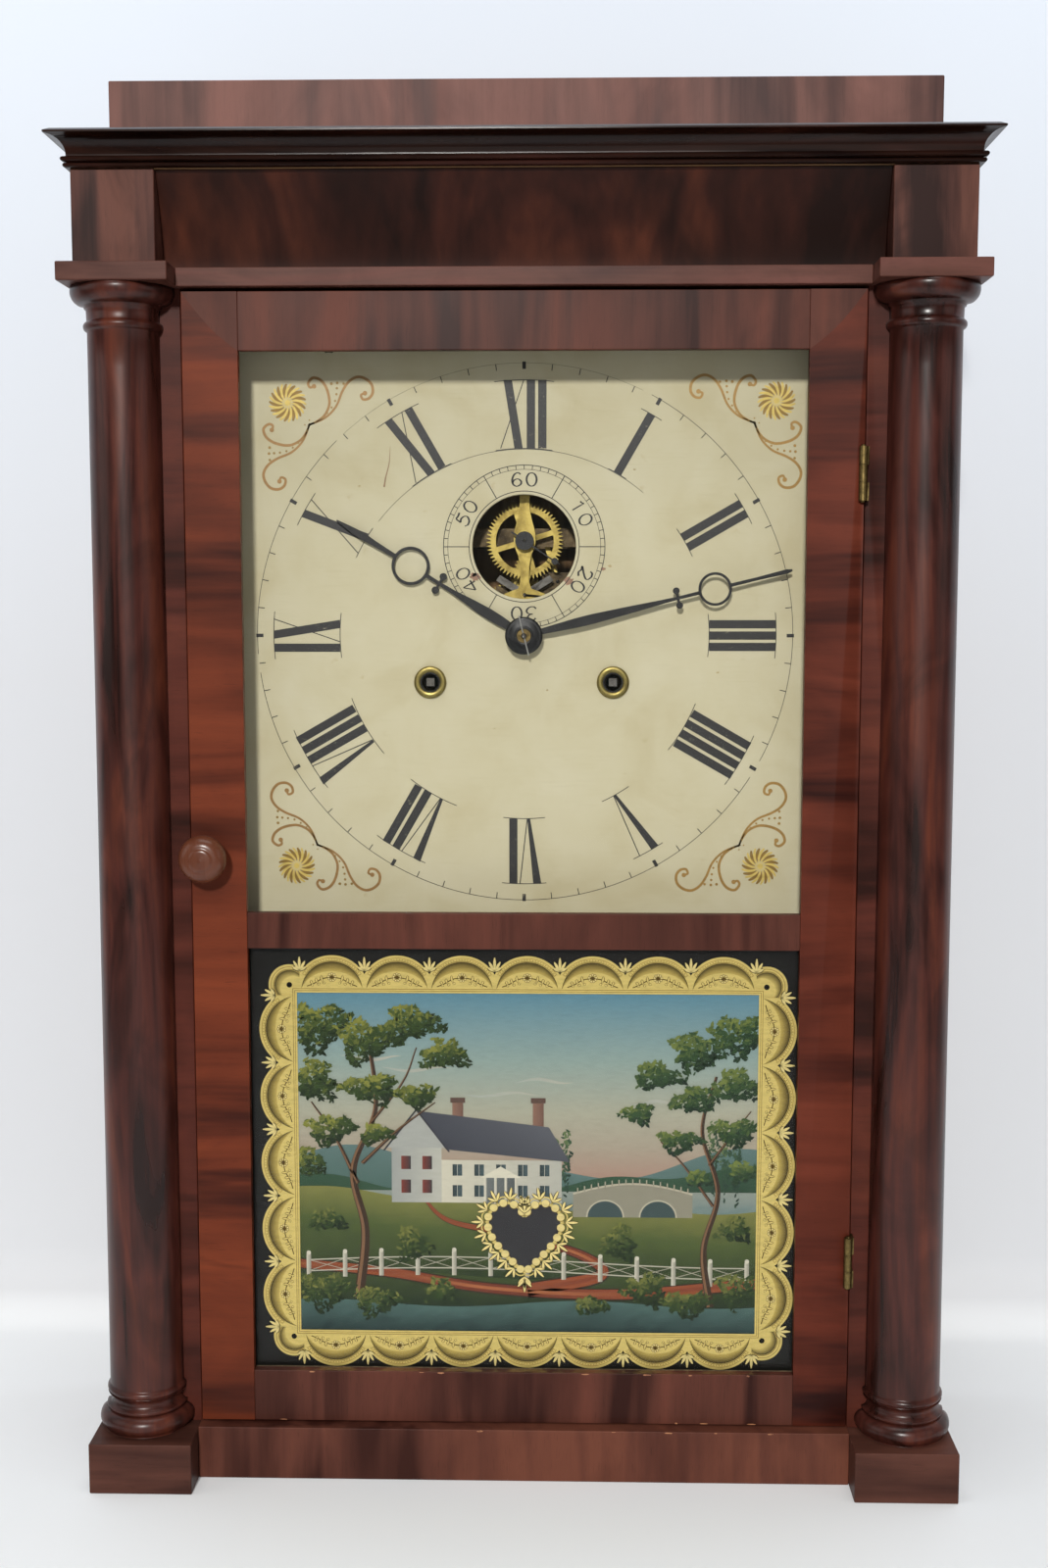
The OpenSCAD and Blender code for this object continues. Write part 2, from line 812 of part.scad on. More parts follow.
// Half outline given as pairs of distance and half width, made a closed shape
module blade(pairs) {
    polygon(concat([for (p = pairs) [p[1], p[0]]],
        [for (i = [len(pairs) - 1:-1:0]) [-pairs[i][1], pairs[i][0]]]));
}

module minute_shape() {
    difference() {
        union() {
            circle(r = hand_boss_r);
            blade([[hand_boss_r - 1, 1.6], [20, 2.2], [30, 2.7], [40, 2.8], [60, 2.1],
                [80, 1.2], [minute_ring - 22, 0.9], [minute_ring - 8.4, 1]]);
            hand_knobs(minute_ring - 21.4, 4.2, 1.9);
        }
        circle(r = centre_r + running);
    }
    hand_ring(minute_ring, 9.4, 1.5);
    blade([[minute_ring + 8.4, 1], [minute_ring + 24, 0.9], [minute_len - 3, 1.3], [minute_len, 0.6]]);
}

module hour_shape() {
    difference() {
        union() {
            circle(r = hand_boss_r - 1.5);
            blade([[7, 2.2], [16, 2.9], [24, 3], [34, 2.4], [46, 1.3],
                [hour_ring - 20, 1], [hour_ring - 9.6, 1.1]]);
            hand_knobs(hour_ring - 19, 4.4, 2.1);
        }
        circle(r = hour_pipe_r + running);
    }
    hand_ring(hour_ring, 10.8, 1.7);
    blade([[hour_ring + 9.8, 1.2], [hour_ring + 24, 1.6], [hour_ring + 32, 2.2], [hour_ring + 40, 1.5],
        [hour_len, 0.4]]);
}

module hour_hand() {
    color(iron) slab(hour_hand_y, hand_t)
        translate(m_pos) rotate(-hour_angle) hour_shape();
}

module minute_hand() {
    color(iron) slab(minute_hand_y, hand_t)
        translate(m_pos) rotate(-minute_angle) minute_shape();
}

// Brass washer and the taper pin that holds the hands on
module hand_washer() {
    color(brass) difference() {
        bar(m_pos, washer_r, minute_hand_y - washer_t, minute_hand_y);
        bar(m_pos, nose_r, minute_hand_y - 2, minute_hand_y + 1);
    }
    color(steel) translate([m_pos[0], minute_hand_y - 1.5, m_pos[1]])
        rotate([0, taper_tilt, 0]) difference() {
            translate([0, 0, -taper_l / 2]) cylinder(r = taper_r, h = taper_l);
            cube([2, 2, 2 * nose_r], center = true);
        }
}

module seconds_hand() {
    color(iron) difference() {
        union() {
            bar(e_pos, 5.3, seconds_y, seconds_y + 2.4);
            slab(seconds_y, 0.8) translate(e_pos) rotate(-seconds_angle) {
                blade([[-9, 0.5], [5, 0.55], [21, 0.35], [24.5, 0.2]]);
                translate([0, 20.8]) circle(r = 2);
            }
        }
        bar(e_pos, 0.8, seconds_y - 1, seconds_y + 3);
    }
}

// ---- Movement frame ----

module strip(x0, x1, z0, z1) {
    translate([x0, hands_z + z0]) square([x1 - x0, z1 - z0]);
}

// Strap frame of one plate, in the front view, heights counted from the hands
module plate_shape() {
    h0 = plate_z - hands_z;
    h1 = plate_top - hands_z;
    strip(-plate_half, plate_half, h0, h0 + 16);
    strip(-plate_half, plate_half, h1 - 14, h1);
    strip(-plate_half, strap_w - plate_half, h0, h1);
    strip(plate_half - strap_w, plate_half, h0, h1);
    strip(-plate_half, plate_half, 50.5, 61);
    strip(-plate_half, plate_half, -41, -17);
    strip(-17, 17, -20, 28);
    strip(10, plate_half, 20, 36);
    strip(-plate_half, -14, 3, 15);
    strip(-plate_half, -33, 30, 42);
}

module front_plate() {
    color(brass) {
        slab(plate_y, plate_t) difference() {
            plate_shape();
            translate(m_pos) circle(r = centre_r + running);
            translate(e_pos) circle(r = 4.2);
            for (p = [t_pos, s_pos])
                translate(p) circle(r = drum_arbor_r + running);
            for (p = [s2_pos, third_pos, k2_pos, fly_pos, hammer_pos, verge_pos])
                translate(p) circle(r = pivot_r + running);
        }
        // Stud of the minute wheel
        bar(minute_pos, 1.2, hour_wheel_y - 1, plate_y);
        // Suspension stud with its slot
        difference() {
            bar(pend_pos, 2.2, crutch_y - 1.9, plate_y);
            board([pend_pos[0] - 0.5, crutch_y - 3, pend_pos[1] - 4],
                [pend_pos[0] + 0.5, crutch_y + 2, pend_pos[1] + 1]);
        }
        escape_bridge();
    }
}

// Vase-shaped bridge in front of the escape wheel, on three pillars
module escape_bridge() {
    outline = [[34, 5], [31, 5], [29, 3.1], [22.5, 2.7], [17.5, 3], [12.5, 4], [7.4, 5.4], [4, 6.2],
        [-1, 6.2], [-4.7, 5.2], [-8.3, 3.7], [-14, 2.7], [-18.3, 2.5], [-23.3, 2.6], [-27, 3.8],
        [-30, 11.6], [-37, 11.6]];
    slab(bridge_y, bridge_t) difference() {
        translate(e_pos) blade(outline);
        translate(e_pos) circle(r = pivot_r + running);
        translate(verge_pos) circle(r = pivot_r + running);
    }
    for (foot = [[0, 31.4], [-9, -34.4], [9, -34.4]])
        bar(e_pos + foot, bridge_foot_r, bridge_y + bridge_t, plate_y);
}

module back_plate() {
    color(brass) {
        slab(plate2_y, plate_t) difference() {
            plate_shape();
            for (p = [t_pos, s_pos])
                translate(p) circle(r = arbor_r + running);
            for (p = [m_pos, e_pos, s2_pos, third_pos, k2_pos, fly_pos])
                translate(p) circle(r = pivot_r + running);
            translate(hammer_pos) circle(r = arbor_r + running);
        }
        for (x = [-pillar_x, pillar_x], z = [plate_z + 8, plate_top - 7]) {
            bar([x, z], pillar_r, plate_in_y, plate2_y);
            bar([x, z], post_r, plate2_out_y, board_y);
        }
    }
}

// ---- Wheels ----

module gear_disc(teeth, mod, add, ded, phase) {
    polygon(gear_points(teeth, mod, add, ded, phase));
}

// A wheel with crossings, in its own plane round the origin
module wheel_shape(teeth, mod, phase, spokes, rim, hub) {
    inner = pitch_r(teeth, mod) - mod - rim;
    difference() {
        gear_disc(teeth, mod, wheel_add, leaf_add + tooth_clear, phase);
        crossings(inner, hub, spokes, rim * 1.1);
    }
}

// Windows between the spokes of a wheel
module crossings(inner, hub, spokes, spoke_w) {
    difference() {
        circle(r = inner);
        circle(r = hub);
        for (i = [0:spokes - 1])
            rotate(i * 360 / spokes + 17) translate([-spoke_w / 2, 0]) square([spoke_w, inner + 1]);
    }
}

module leaf_pinion(pos, leaves, mod, phase, y0, l) {
    slab(y0, l) translate(pos)
        gear_disc(leaves, mod, leaf_add, wheel_add + tooth_clear, phase);
}

// An arbor between the plates, with a pivot at each end
module pivoted_arbor(pos, r) {
    bar(pos, r, plate_in_y + 0.5, plate2_y - 0.5);
    bar(pos, pivot_r, plate_y, plate2_out_y);
}

module great_wheel(pos) {
    difference() {
        union() {
            slab(great_y, great_t) translate(pos) wheel_shape(great_teeth, great_mod, great_phase, 4, 4, 8);
            bar(pos, 6, great_y - 1.5, great_y + 2.5);
        }
        bar(pos, drum_arbor_r + running, great_y - 3, great_y + 4);
    }
}

module time_great_wheel() {
    color(brass) great_wheel(t_pos);
}

module strike_great_wheel() {
    color(brass) {
        great_wheel(s_pos);
        // Lifting pins for the hammer
        for (i = [0:7])
            bar(s_pos + 27 * [cos(i * 45), sin(i * 45)], 0.8, great_y - 2.5, great_y + 1);
    }
}

// Winding drum on its arbor, with the square for the key in front
module drum(pos) {
    color(iron) {
        slab(dial_y + 1.5, plate_y - 2 - dial_y) translate(pos) square(square_w, center = true);
        bar(pos, drum_arbor_r, plate_y - 1, plate2_y - 1);
        bar(pos, arbor_r, plate2_y - 2, plate2_out_y);
    }
    color(brass) {
        bar(pos, drum_r, drum_y, drum_y + drum_l);
        for (y = [drum_y, drum_y + drum_l - 1])
            bar(pos, drum_flange_r, y, y + 1);
        // Collar in front of the great wheel
        bar(pos, 5, great_y - 3.2, great_y - 1.8);
    }
}

module time_drum() {
    drum(t_pos);
}

module strike_drum() {
    drum(s_pos);
}

module time_second_wheel() {
    color(brass) {
        slab(second_y, wheel_t) translate(s2_pos)
            wheel_shape(second_teeth, second_mod, second_phase, 4, 3, 4);
        pivoted_arbor(s2_pos, arbor_r);
    }
    color(steel) leaf_pinion(s2_pos, leaf10, great_mod, s2_pinion_phase, great_y - 0.6, pinion_l);
}

module centre_wheel() {
    color(brass) slab(centre_y, wheel_t) translate(m_pos)
        wheel_shape(centre_teeth, centre_mod, centre_phase, 4, 3.4, 10);
    color(steel) {
        leaf_pinion(m_pos, centre_leaves, second_mod, centre_pinion_phase, second_y - 0.7, pinion_l);
        leaf_pinion(m_pos, cannon_leaves, cannon_mod, cannon_phase, minute_wheel_y - 0.3, 2);
        bar(m_pos, centre_r, minute_hand_y, plate2_y - 0.5);
        bar(m_pos, nose_r, minute_hand_y - 2.6, minute_hand_y);
        bar(m_pos, pivot_r, plate2_y - 1, plate2_out_y);
    }
}

module third_wheel() {
    color(brass) slab(third_y, wheel_t) translate(third_pos)
        wheel_shape(third_teeth, third_mod, third_phase, 4, 2.6, 5);
    color(steel) {
        leaf_pinion(third_pos, leaf10, centre_mod, third_pinion_phase, centre_y - 0.7, pinion_l);
        pivoted_arbor(third_pos, arbor_r);
    }
}

// Saw-toothed rim: each tooth has a steep front and a long sloping back
function escape_points() =
    [for (i = [0:escape_teeth - 1], q = [[0, 0], [0.18, 1], [0.3, 1], [0.72, 0]])
        let (p = 360 / escape_teeth, a = (i + q[0]) * p, r = escape_r - 2.4 + 2.4 * q[1])
        r * [cos(a), sin(a)]];

module escape_wheel() {
    color(brass) slab(escape_y, wheel_t) translate(e_pos) difference() {
        polygon(escape_points());
        crossings(escape_r - 5.4, 6.5, 4, 3);
    }
    color(steel) {
        leaf_pinion(e_pos, leaf10, third_mod, escape_pinion_phase, third_y - 0.7, pinion_l);
        bar(e_pos, arbor_r, bridge_y + bridge_t + 0.4, plate2_y - 0.5);
        bar(e_pos, 0.8, bridge_y - 4.6, bridge_y - 0.4);
        bar(e_pos, pivot_r, bridge_y - 0.4, plate2_out_y);
    }
}

module minute_wheel() {
    color(brass) difference() {
        union() {
            slab(minute_wheel_y, wheel_t) translate(minute_pos)
                gear_disc(minute_teeth, cannon_mod, wheel_add, leaf_add + tooth_clear, minute_phase);
            leaf_pinion(minute_pos, leaf10, hour_mod, minute_pinion_phase, hour_wheel_y - 0.3,
                minute_wheel_y - hour_wheel_y + 0.8);
        }
        bar(minute_pos, 1.2 + running, hour_wheel_y - 2, plate_y);
    }
}

module hour_wheel() {
    color(brass) difference() {
        union() {
            slab(hour_wheel_y, wheel_t) translate(m_pos)
                gear_disc(hour_teeth, hour_mod, wheel_add, leaf_add + tooth_clear, hour_phase);
            bar(m_pos, hour_pipe_r, hour_hand_y - 0.4, hour_wheel_y + 1);
        }
        bar(m_pos, centre_r + running, hour_hand_y - 2, hour_wheel_y + 4);
    }
}

// ---- Escapement and pendulum ----

module verge() {
    arm_z = verge_pos[1] - 2;
    color(steel) {
        slab(escape_y, wheel_t) translate(e_pos) {
            // Heights below the escape arbor: the pallets end clear of the teeth
            polygon([[0, -32.8], [16.5, -22.4], [14.3, -19.4], [13, -20], [0, -28.1],
                [-13, -20], [-14.3, -19.4], [-16.5, -22.4]]);
            translate([0, verge_pos[1] - e_pos[1]]) circle(r = 3);
        }
        bar(verge_pos, pivot_r, crutch_y - 0.6, plate_in_y);
        rod([0, crutch_y, verge_pos[1]], [crutch_x, crutch_y, arm_z], crutch_r);
        rod([crutch_x, crutch_y, arm_z], [crutch_x, crutch_y, loop_z], crutch_r);
        translate([crutch_x, crutch_y, arm_z]) sphere(r = crutch_r);
        difference() {
            board([crutch_x - 0.5, crutch_y - 2, loop_z - 1], [pend_pos[0] + 2.2, crutch_y + 2, loop_z + 1]);
            board([pend_pos[0] - loop_half, crutch_y - 1.2, loop_z - 2],
                [pend_pos[0] + loop_half, crutch_y + 1.2, loop_z + 2]);
        }
    }
}

module pendulum_rod() {
    x = pend_pos[0];
    z = pend_pos[1];
    bob_z = z - pendulum_len;
    color(steel) {
        board([x - 0.12, crutch_y - 1.5, z - 15], [x + 0.12, crutch_y + 1.5, z + 0.4]);
        translate([x, crutch_y, bob_z - bob_r - 6]) cylinder(r = rod_r, h = pendulum_len + bob_r - 9);
    }
    color(brass) {
        translate([x, crutch_y, z - 20]) cylinder(r = 1.6, h = 7);
        translate([x, crutch_y, bob_z - bob_r - 4]) cylinder(r = 3.4, h = 3.6);
    }
}

module pendulum_bob() {
    t = bob_half_t;
    color(brass) translate([pend_pos[0], crutch_y, pend_pos[1] - pendulum_len]) difference() {
        rotate([90, 0, 0]) rotate_extrude() polygon([[0, -t], [bob_r * 0.5, -t * 0.8],
            [bob_r * 0.85, -t * 0.36], [bob_r, -0.4], [bob_r, 0.4],
            [bob_r * 0.85, t * 0.36], [bob_r * 0.5, t * 0.8], [0, t]]);
        cylinder(r = rod_r + running, h = 3 * bob_r, center = true);
    }
}

// ---- Strike side ----

module strike_second_wheel() {
    color(brass) slab(third_y, wheel_t) translate(k2_pos)
        wheel_shape(strike2_teeth, strike2_mod, strike2_phase, 4, 2.6, 5);
    color(steel) {
        leaf_pinion(k2_pos, leaf10, great_mod, k2_pinion_phase, great_y - 0.6, pinion_l);
        pivoted_arbor(k2_pos, arbor_r);
    }
}

module strike_fly() {
    color(steel) {
        leaf_pinion(fly_pos, fly_leaves, strike2_mod, fly_phase, third_y - 0.7, pinion_l);
        pivoted_arbor(fly_pos, fly_arbor_r);
    }
    color(brass) {
        bar(fly_pos, 2.2, centre_y + 3, plate2_y - 5);
        board([fly_pos[0] - fly_half, centre_y + 4, fly_pos[1] - 0.3],
            [fly_pos[0] + fly_half, plate2_y - 6, fly_pos[1] + 0.3]);
    }
}

module hammer() {
    toward = (s_pos - hammer_pos) / norm(s_pos - hammer_pos);
    finger = hammer_pos + finger_l * toward;
    foot = [head_x - head_l / 2, gong_y, gong_pos[1]];
    color(steel) {
        bar(hammer_pos, arbor_r, plate_in_y + 0.5, gong_y + 1.2);
        bar(hammer_pos, pivot_r, plate_y, plate_in_y + 1);
        slab(great_y - 2.4, 1.6) translate(hammer_pos)
            rotate(dir_angle(hammer_pos, finger) - 90) translate([-1.2, 0]) square([2.4, finger_l]);
        rod([hammer_pos[0], gong_y, hammer_pos[1]], foot, 1.1);
    }
    color(brass) translate([head_x - head_l, gong_y, gong_pos[1]])
        rotate([0, 90, 0]) cylinder(r = head_r, h = head_l);
}

// Half a turn of the gong wire, above or below its centre line
module half_turn(cx, r, lower) {
    translate([cx, 0, 0]) rotate([0, 0, lower ? 180 : 0])
        rotate_extrude(angle = 180) translate([r, 0]) circle(r = gong_wire);
}

module gong() {
    color(steel) translate([gong_pos[0], gong_y, gong_pos[1]]) rotate([90, 0, 0]) {
        for (i = [0:gong_turns])
            half_turn(0, gong_r0 + i * gong_step, false);
        for (i = [0:gong_turns - 1])
            half_turn(gong_step / 2, gong_r0 + (i + 0.5) * gong_step, true);
    }
    color(iron) {
        bar(gong_pos + [gong_r0, 0], 3, gong_y - 2.5, gong_y + 6);
        board([gong_pos[0] - 8, gong_y + 5, gong_pos[1] - 12],
            [gong_pos[0] + 24, board_y, gong_pos[1] + 12]);
    }
}

// ---- Weights, pulleys and cords ----

module weight_shape() {
    color(iron) {
        translate([weight_x, cord_y, weight_z]) rotate_extrude() polygon([[0, 0], [weight_r - 2, 0],
            [weight_r, 2], [weight_r, weight_h - 3], [weight_r - 4, weight_h], [0, weight_h]]);
        translate([weight_x, cord_y, eye_z])
            rotate([90, 0, 0]) rotate_extrude() translate([eye_r, 0]) circle(r = eye_wire);
    }
}

module time_weight() {
    weight_shape();
}

module strike_weight() {
    mirror([1, 0, 0]) weight_shape();
}

module pulley_shape() {
    color(pine) translate([pulley_x, cord_y, pulley_z]) rotate([90, 0, 0])
        rotate_extrude() polygon([[axle_r + running, -pulley_w / 2], [pulley_r, -pulley_w / 2],
            [pulley_r, -pulley_w / 2 + 1], [groove_r + 0.6, -1.3], [groove_r, -0.6],
            [groove_r, 0.6], [groove_r + 0.6, 1.3], [pulley_r, pulley_w / 2 - 1],
            [pulley_r, pulley_w / 2], [axle_r + running, pulley_w / 2]]);
}

module time_pulley() {
    pulley_shape();
}

module strike_pulley() {
    mirror([1, 0, 0]) pulley_shape();
}

module pulley_brackets() {
    cheek = 1.6;
    gap = pulley_w / 2 + 0.6;
    color(iron) both() {
        for (y = [cord_y - gap - cheek, cord_y + gap])
            board([pulley_x - 7, y, pulley_z - 6], [pulley_x + 7, y + cheek, frieze_top]);
        board([pulley_x - 14, cord_y - gap - cheek - 3, frieze_top - 2],
            [pulley_x + 14, cord_y + gap + cheek + 3, frieze_top]);
        bar([pulley_x, pulley_z], axle_r, cord_y - gap - cheek - 1, cord_y + gap + cheek + 1);
    }
}

// A tube along a path in the plane of the cords, as one closed skin
module cord_tube(path, ends) {
    sides = 12;
    last = len(path) - 1;
    rings = [for (i = [0:last], k = [0:sides - 1])
        let (a = k * 360 / sides, p = path[i] + cord_r * cos(a) * [-sin(ends[i]), cos(ends[i])])
        [p[0], cord_y + cord_r * sin(a), p[1]]];
    walls = [for (i = [0:last - 1], k = [0:sides - 1])
        let (j = (k + 1) % sides)
        [i * sides + k, i * sides + j, (i + 1) * sides + j, (i + 1) * sides + k]];
    caps = [[for (k = [sides - 1:-1:0]) k], [for (k = [0:sides - 1]) last * sides + k]];
    polyhedron(points = rings, faces = concat(walls, caps));
}

// The run of a cord from its drum up and over the pulley, to the weight's side
module cord_run(drum_pos) {
    steps = 12;
    c2 = [pulley_x, pulley_z];
    turn = dir_angle(drum_pos, c2) + 90 + asin((run_r - drum_run_r) / norm(c2 - drum_pos));
    over = [for (i = [0:steps]) turn * (1 - i / steps)];
    cord_tube(
        concat([drum_pos + drum_run_r * [cos(turn), sin(turn)]],
            [for (a = over) c2 + run_r * [cos(a), sin(a)]]),
        concat([turn - 90], [for (a = over) a - 90]));
}

module weight_cords() {
    color("white") {
        cord_run(t_pos);
        mirror([1, 0, 0]) cord_run([strike_x, s_pos[1]]);
    }
}

module cord_fall() {
    color("white") translate([weight_x, cord_y, eye_top])
        cylinder(r = cord_r, h = pulley_z - eye_top);
}

module time_cord_fall() {
    cord_fall();
}

module strike_cord_fall() {
    mirror([1, 0, 0]) cord_fall();
}

backboard();
case_sides();
top_board();
bottom_board();
stile_left();
stile_right();
base_rail();
base_blocks();
column_left();
column_right();
abaci();
architrave();
cove_frieze();
frieze_blocks();
cornice();
crest_board();
dial_panel();
winding_grommets();
door_stile_left();
door_stile_right();
door_top_rail();
door_mid_rail();
door_bottom_rail();
dial_glass();
tablet_glass();
hinge_case_leaves();
hinge_door_leaves();
hinge_pins();
door_knob();
hour_hand();
minute_hand();
hand_washer();
seconds_hand();
front_plate();
back_plate();
time_great_wheel();
time_drum();
time_second_wheel();
centre_wheel();
third_wheel();
escape_wheel();
minute_wheel();
hour_wheel();
verge();
pendulum_rod();
pendulum_bob();
strike_great_wheel();
strike_drum();
strike_second_wheel();
strike_fly();
hammer();
gong();
time_weight();
strike_weight();
time_pulley();
strike_pulley();
pulley_brackets();
weight_cords();
time_cord_fall();
strike_cord_fall();
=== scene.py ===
"""Looks of a weight-driven shelf clock with half columns, a cornice and a painted tablet.

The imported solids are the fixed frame. This script gives every piece its finish and adds the painted dial,
the painted tablet, the turned boss of the hands, the rims of the winding holes, the putty behind the glasses,
the hanging cords and the studio.
Sizes are in millimetres in the same frame as the solids: X to the right, Y to the back, Z up.
"""

import json
import logging
from dataclasses import dataclass, field, replace
from enum import Enum
from functools import lru_cache
from typing import Callable, Iterable, Optional, Sequence, Union

import bmesh
import bpy
import numpy as np
from mathutils import Matrix, Vector


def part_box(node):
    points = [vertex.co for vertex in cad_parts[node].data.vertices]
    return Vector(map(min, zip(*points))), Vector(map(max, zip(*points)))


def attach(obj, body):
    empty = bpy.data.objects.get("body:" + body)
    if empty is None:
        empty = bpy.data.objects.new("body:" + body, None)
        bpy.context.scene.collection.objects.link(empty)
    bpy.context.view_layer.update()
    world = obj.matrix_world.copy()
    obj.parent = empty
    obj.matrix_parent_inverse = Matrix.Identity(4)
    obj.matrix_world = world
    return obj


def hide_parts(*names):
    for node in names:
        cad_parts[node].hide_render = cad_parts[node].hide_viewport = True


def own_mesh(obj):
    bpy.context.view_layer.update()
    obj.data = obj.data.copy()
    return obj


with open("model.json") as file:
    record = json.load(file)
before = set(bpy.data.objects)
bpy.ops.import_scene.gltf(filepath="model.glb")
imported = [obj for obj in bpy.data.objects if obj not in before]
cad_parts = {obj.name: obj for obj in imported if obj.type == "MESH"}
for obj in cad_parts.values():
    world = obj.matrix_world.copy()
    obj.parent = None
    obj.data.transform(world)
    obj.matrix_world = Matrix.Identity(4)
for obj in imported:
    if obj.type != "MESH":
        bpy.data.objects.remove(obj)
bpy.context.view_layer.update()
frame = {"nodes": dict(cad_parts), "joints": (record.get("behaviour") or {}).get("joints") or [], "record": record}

LOG = logging.getLogger("clock")
MM = 0.001
TAU = 2 * np.pi
Points = np.ndarray
Colour = Union[str, Points]
Output = bpy.types.NodeSocket
Socket = Union[Output, float, Sequence[float]]
Mask = Callable[[Points], Points]
Shares = Union[float, Sequence[float], Points]


# ---------------------------------------------------------------- colours and node graphs


def linear(code: str) -> tuple[float, float, float, float]:
    """Turn an sRGB hex code into Blender's linear colour.

    Args:
        code: six hex digits after a hash.

    Returns:
        Linear red, green, blue and an alpha of one.
    """
    parts = np.array([int(code[i:i + 2], 16) for i in (1, 3, 5)]) / 255.0
    low = parts / 12.92
    high = ((parts + 0.055) / 1.055) ** 2.4
    return (*np.where(parts <= 0.04045, low, high).tolist(), 1.0)


def blend_codes(a: str, b: str, share: Points) -> Points:
    """Linear colours between two hex codes, one row for each share."""
    start, end = np.array(linear(a)), np.array(linear(b))
    return start + (end - start) * np.asarray(share, float)[:, None]


class Graph:
    """The node tree of one material."""

    def __init__(self, name: str) -> None:
        """Start an empty tree with one Principled shader."""
        self.material = bpy.data.materials.new(name)
        self.material.use_nodes = True
        self.tree = self.material.node_tree
        self.tree.nodes.clear()
        self.shader = self.tree.nodes.new("ShaderNodeBsdfPrincipled")
        out = self.tree.nodes.new("ShaderNodeOutputMaterial")
        self.tree.links.new(self.shader.outputs[0], out.inputs[0])

    def feed(self, socket: Output, value: Socket) -> None:
        """Join a socket to another one, or set its value."""
        if isinstance(value, bpy.types.NodeSocket):
            self.tree.links.new(value, socket)
        else:
            socket.default_value = value

    def set(self, **values: Socket) -> None:
        """Set shader inputs, with underscores for the spaces in their names."""
        for key, value in values.items():
            self.feed(self.shader.inputs[key.replace("_", " ")], value)

    def add(self, kind: str, inputs: Optional[dict] = None, out: Union[int, str] = 0,
            stops: Sequence[tuple[float, str]] = (), **settings: object) -> Output:
        """Add a shader node with its settings and links.

        Args:
            kind: the node's type without its ShaderNode prefix.
            inputs: values or sockets by input name or index.
            out: the name or index of the output that is wanted.
            stops: the places and hex colours of a colour ramp.
            settings: the node's own properties.

        Returns:
            The wanted output.
        """
        node = self.tree.nodes.new("ShaderNode" + kind)
        for key, value in settings.items():
            setattr(node, key, value)
        for key, value in (inputs or {}).items():
            self.feed(node.inputs[key], value)
        if stops:
            elements = node.color_ramp.elements
            while len(elements) < len(stops):
                elements.new(1.0)
            for element, (place, code) in zip(elements, stops):
                element.position = place
                element.color = linear(code)
        return node.outputs[out]

    def clouds(self, size_mm: Sequence[float], detail: float = 3.0, rough: float = 0.55,
               distortion: float = 0.0, source: Optional[Output] = None, cut: float = 0.0) -> Output:
        """A noise pattern whose clouds have a real size along each axis.

        Args:
            size_mm: the size of a cloud along X, Y and Z, in millimetres.
            detail: how many finer layers it has.
            rough: how strong those layers are.
            distortion: how much it swirls.
            source: the coordinates, or nothing for the object's own.
            cut: how far along the pattern this piece was cut.

        Returns:
            The pattern's height, from zero to one.
        """
        source = source or self.add("TexCoord", out="Object")
        place = self.add("Mapping", {"Vector": source, "Location": (cut, 0.37 * cut, 0.71 * cut),
                                     "Scale": [1.0 / (size * MM) for size in size_mm]})
        return self.add("TexNoise", {"Vector": place, "Scale": 1.0, "Detail": detail, "Roughness": rough,
                                     "Distortion": distortion})

    def stain(self, base: Socket, pattern: Output, low: float, high: float, strength: float,
              code: str) -> Output:
        """Lay a colour over another one where a pattern is high.

        Args:
            base: the colour below.
            pattern: the pattern.
            low: the pattern's value where the stain begins.
            high: its value where the stain is full.
            strength: how much of the colour below a full stain hides.
            code: the stain's hex code.

        Returns:
            The mixed colour.
        """
        share = self.add("MapRange", {0: pattern, 1: low, 2: high, 4: strength})
        return self.add("Mix", {0: share, 6: base, 7: linear(code)}, 2, data_type="RGBA")


# ---------------------------------------------------------------- finishes


@dataclass(frozen=True)
class Finish:
    """What every finish has: a name, and a material that is made once.

    Attributes:
        name: the material's name.
    """

    name: str

    @lru_cache(maxsize=None)
    def material(self) -> bpy.types.Material:
        """Make the material."""
        g = Graph(self.name)
        self.lay(g)
        return g.material

    def lay(self, g: Graph) -> None:
        """Add the finish's nodes to a graph."""
        raise NotImplementedError


class Grain(Enum):
    """The axis along which a board's grain, or any other drawn-out pattern, runs."""

    ACROSS = 0
    DEEP = 1
    UPRIGHT = 2

    def sizes(self, across_mm: float, along_mm: float) -> list[float]:
        """A pattern's size along X, Y and Z, from its sizes across and along this axis."""
        sizes = [across_mm] * 3
        sizes[self.value] = along_mm
        return sizes


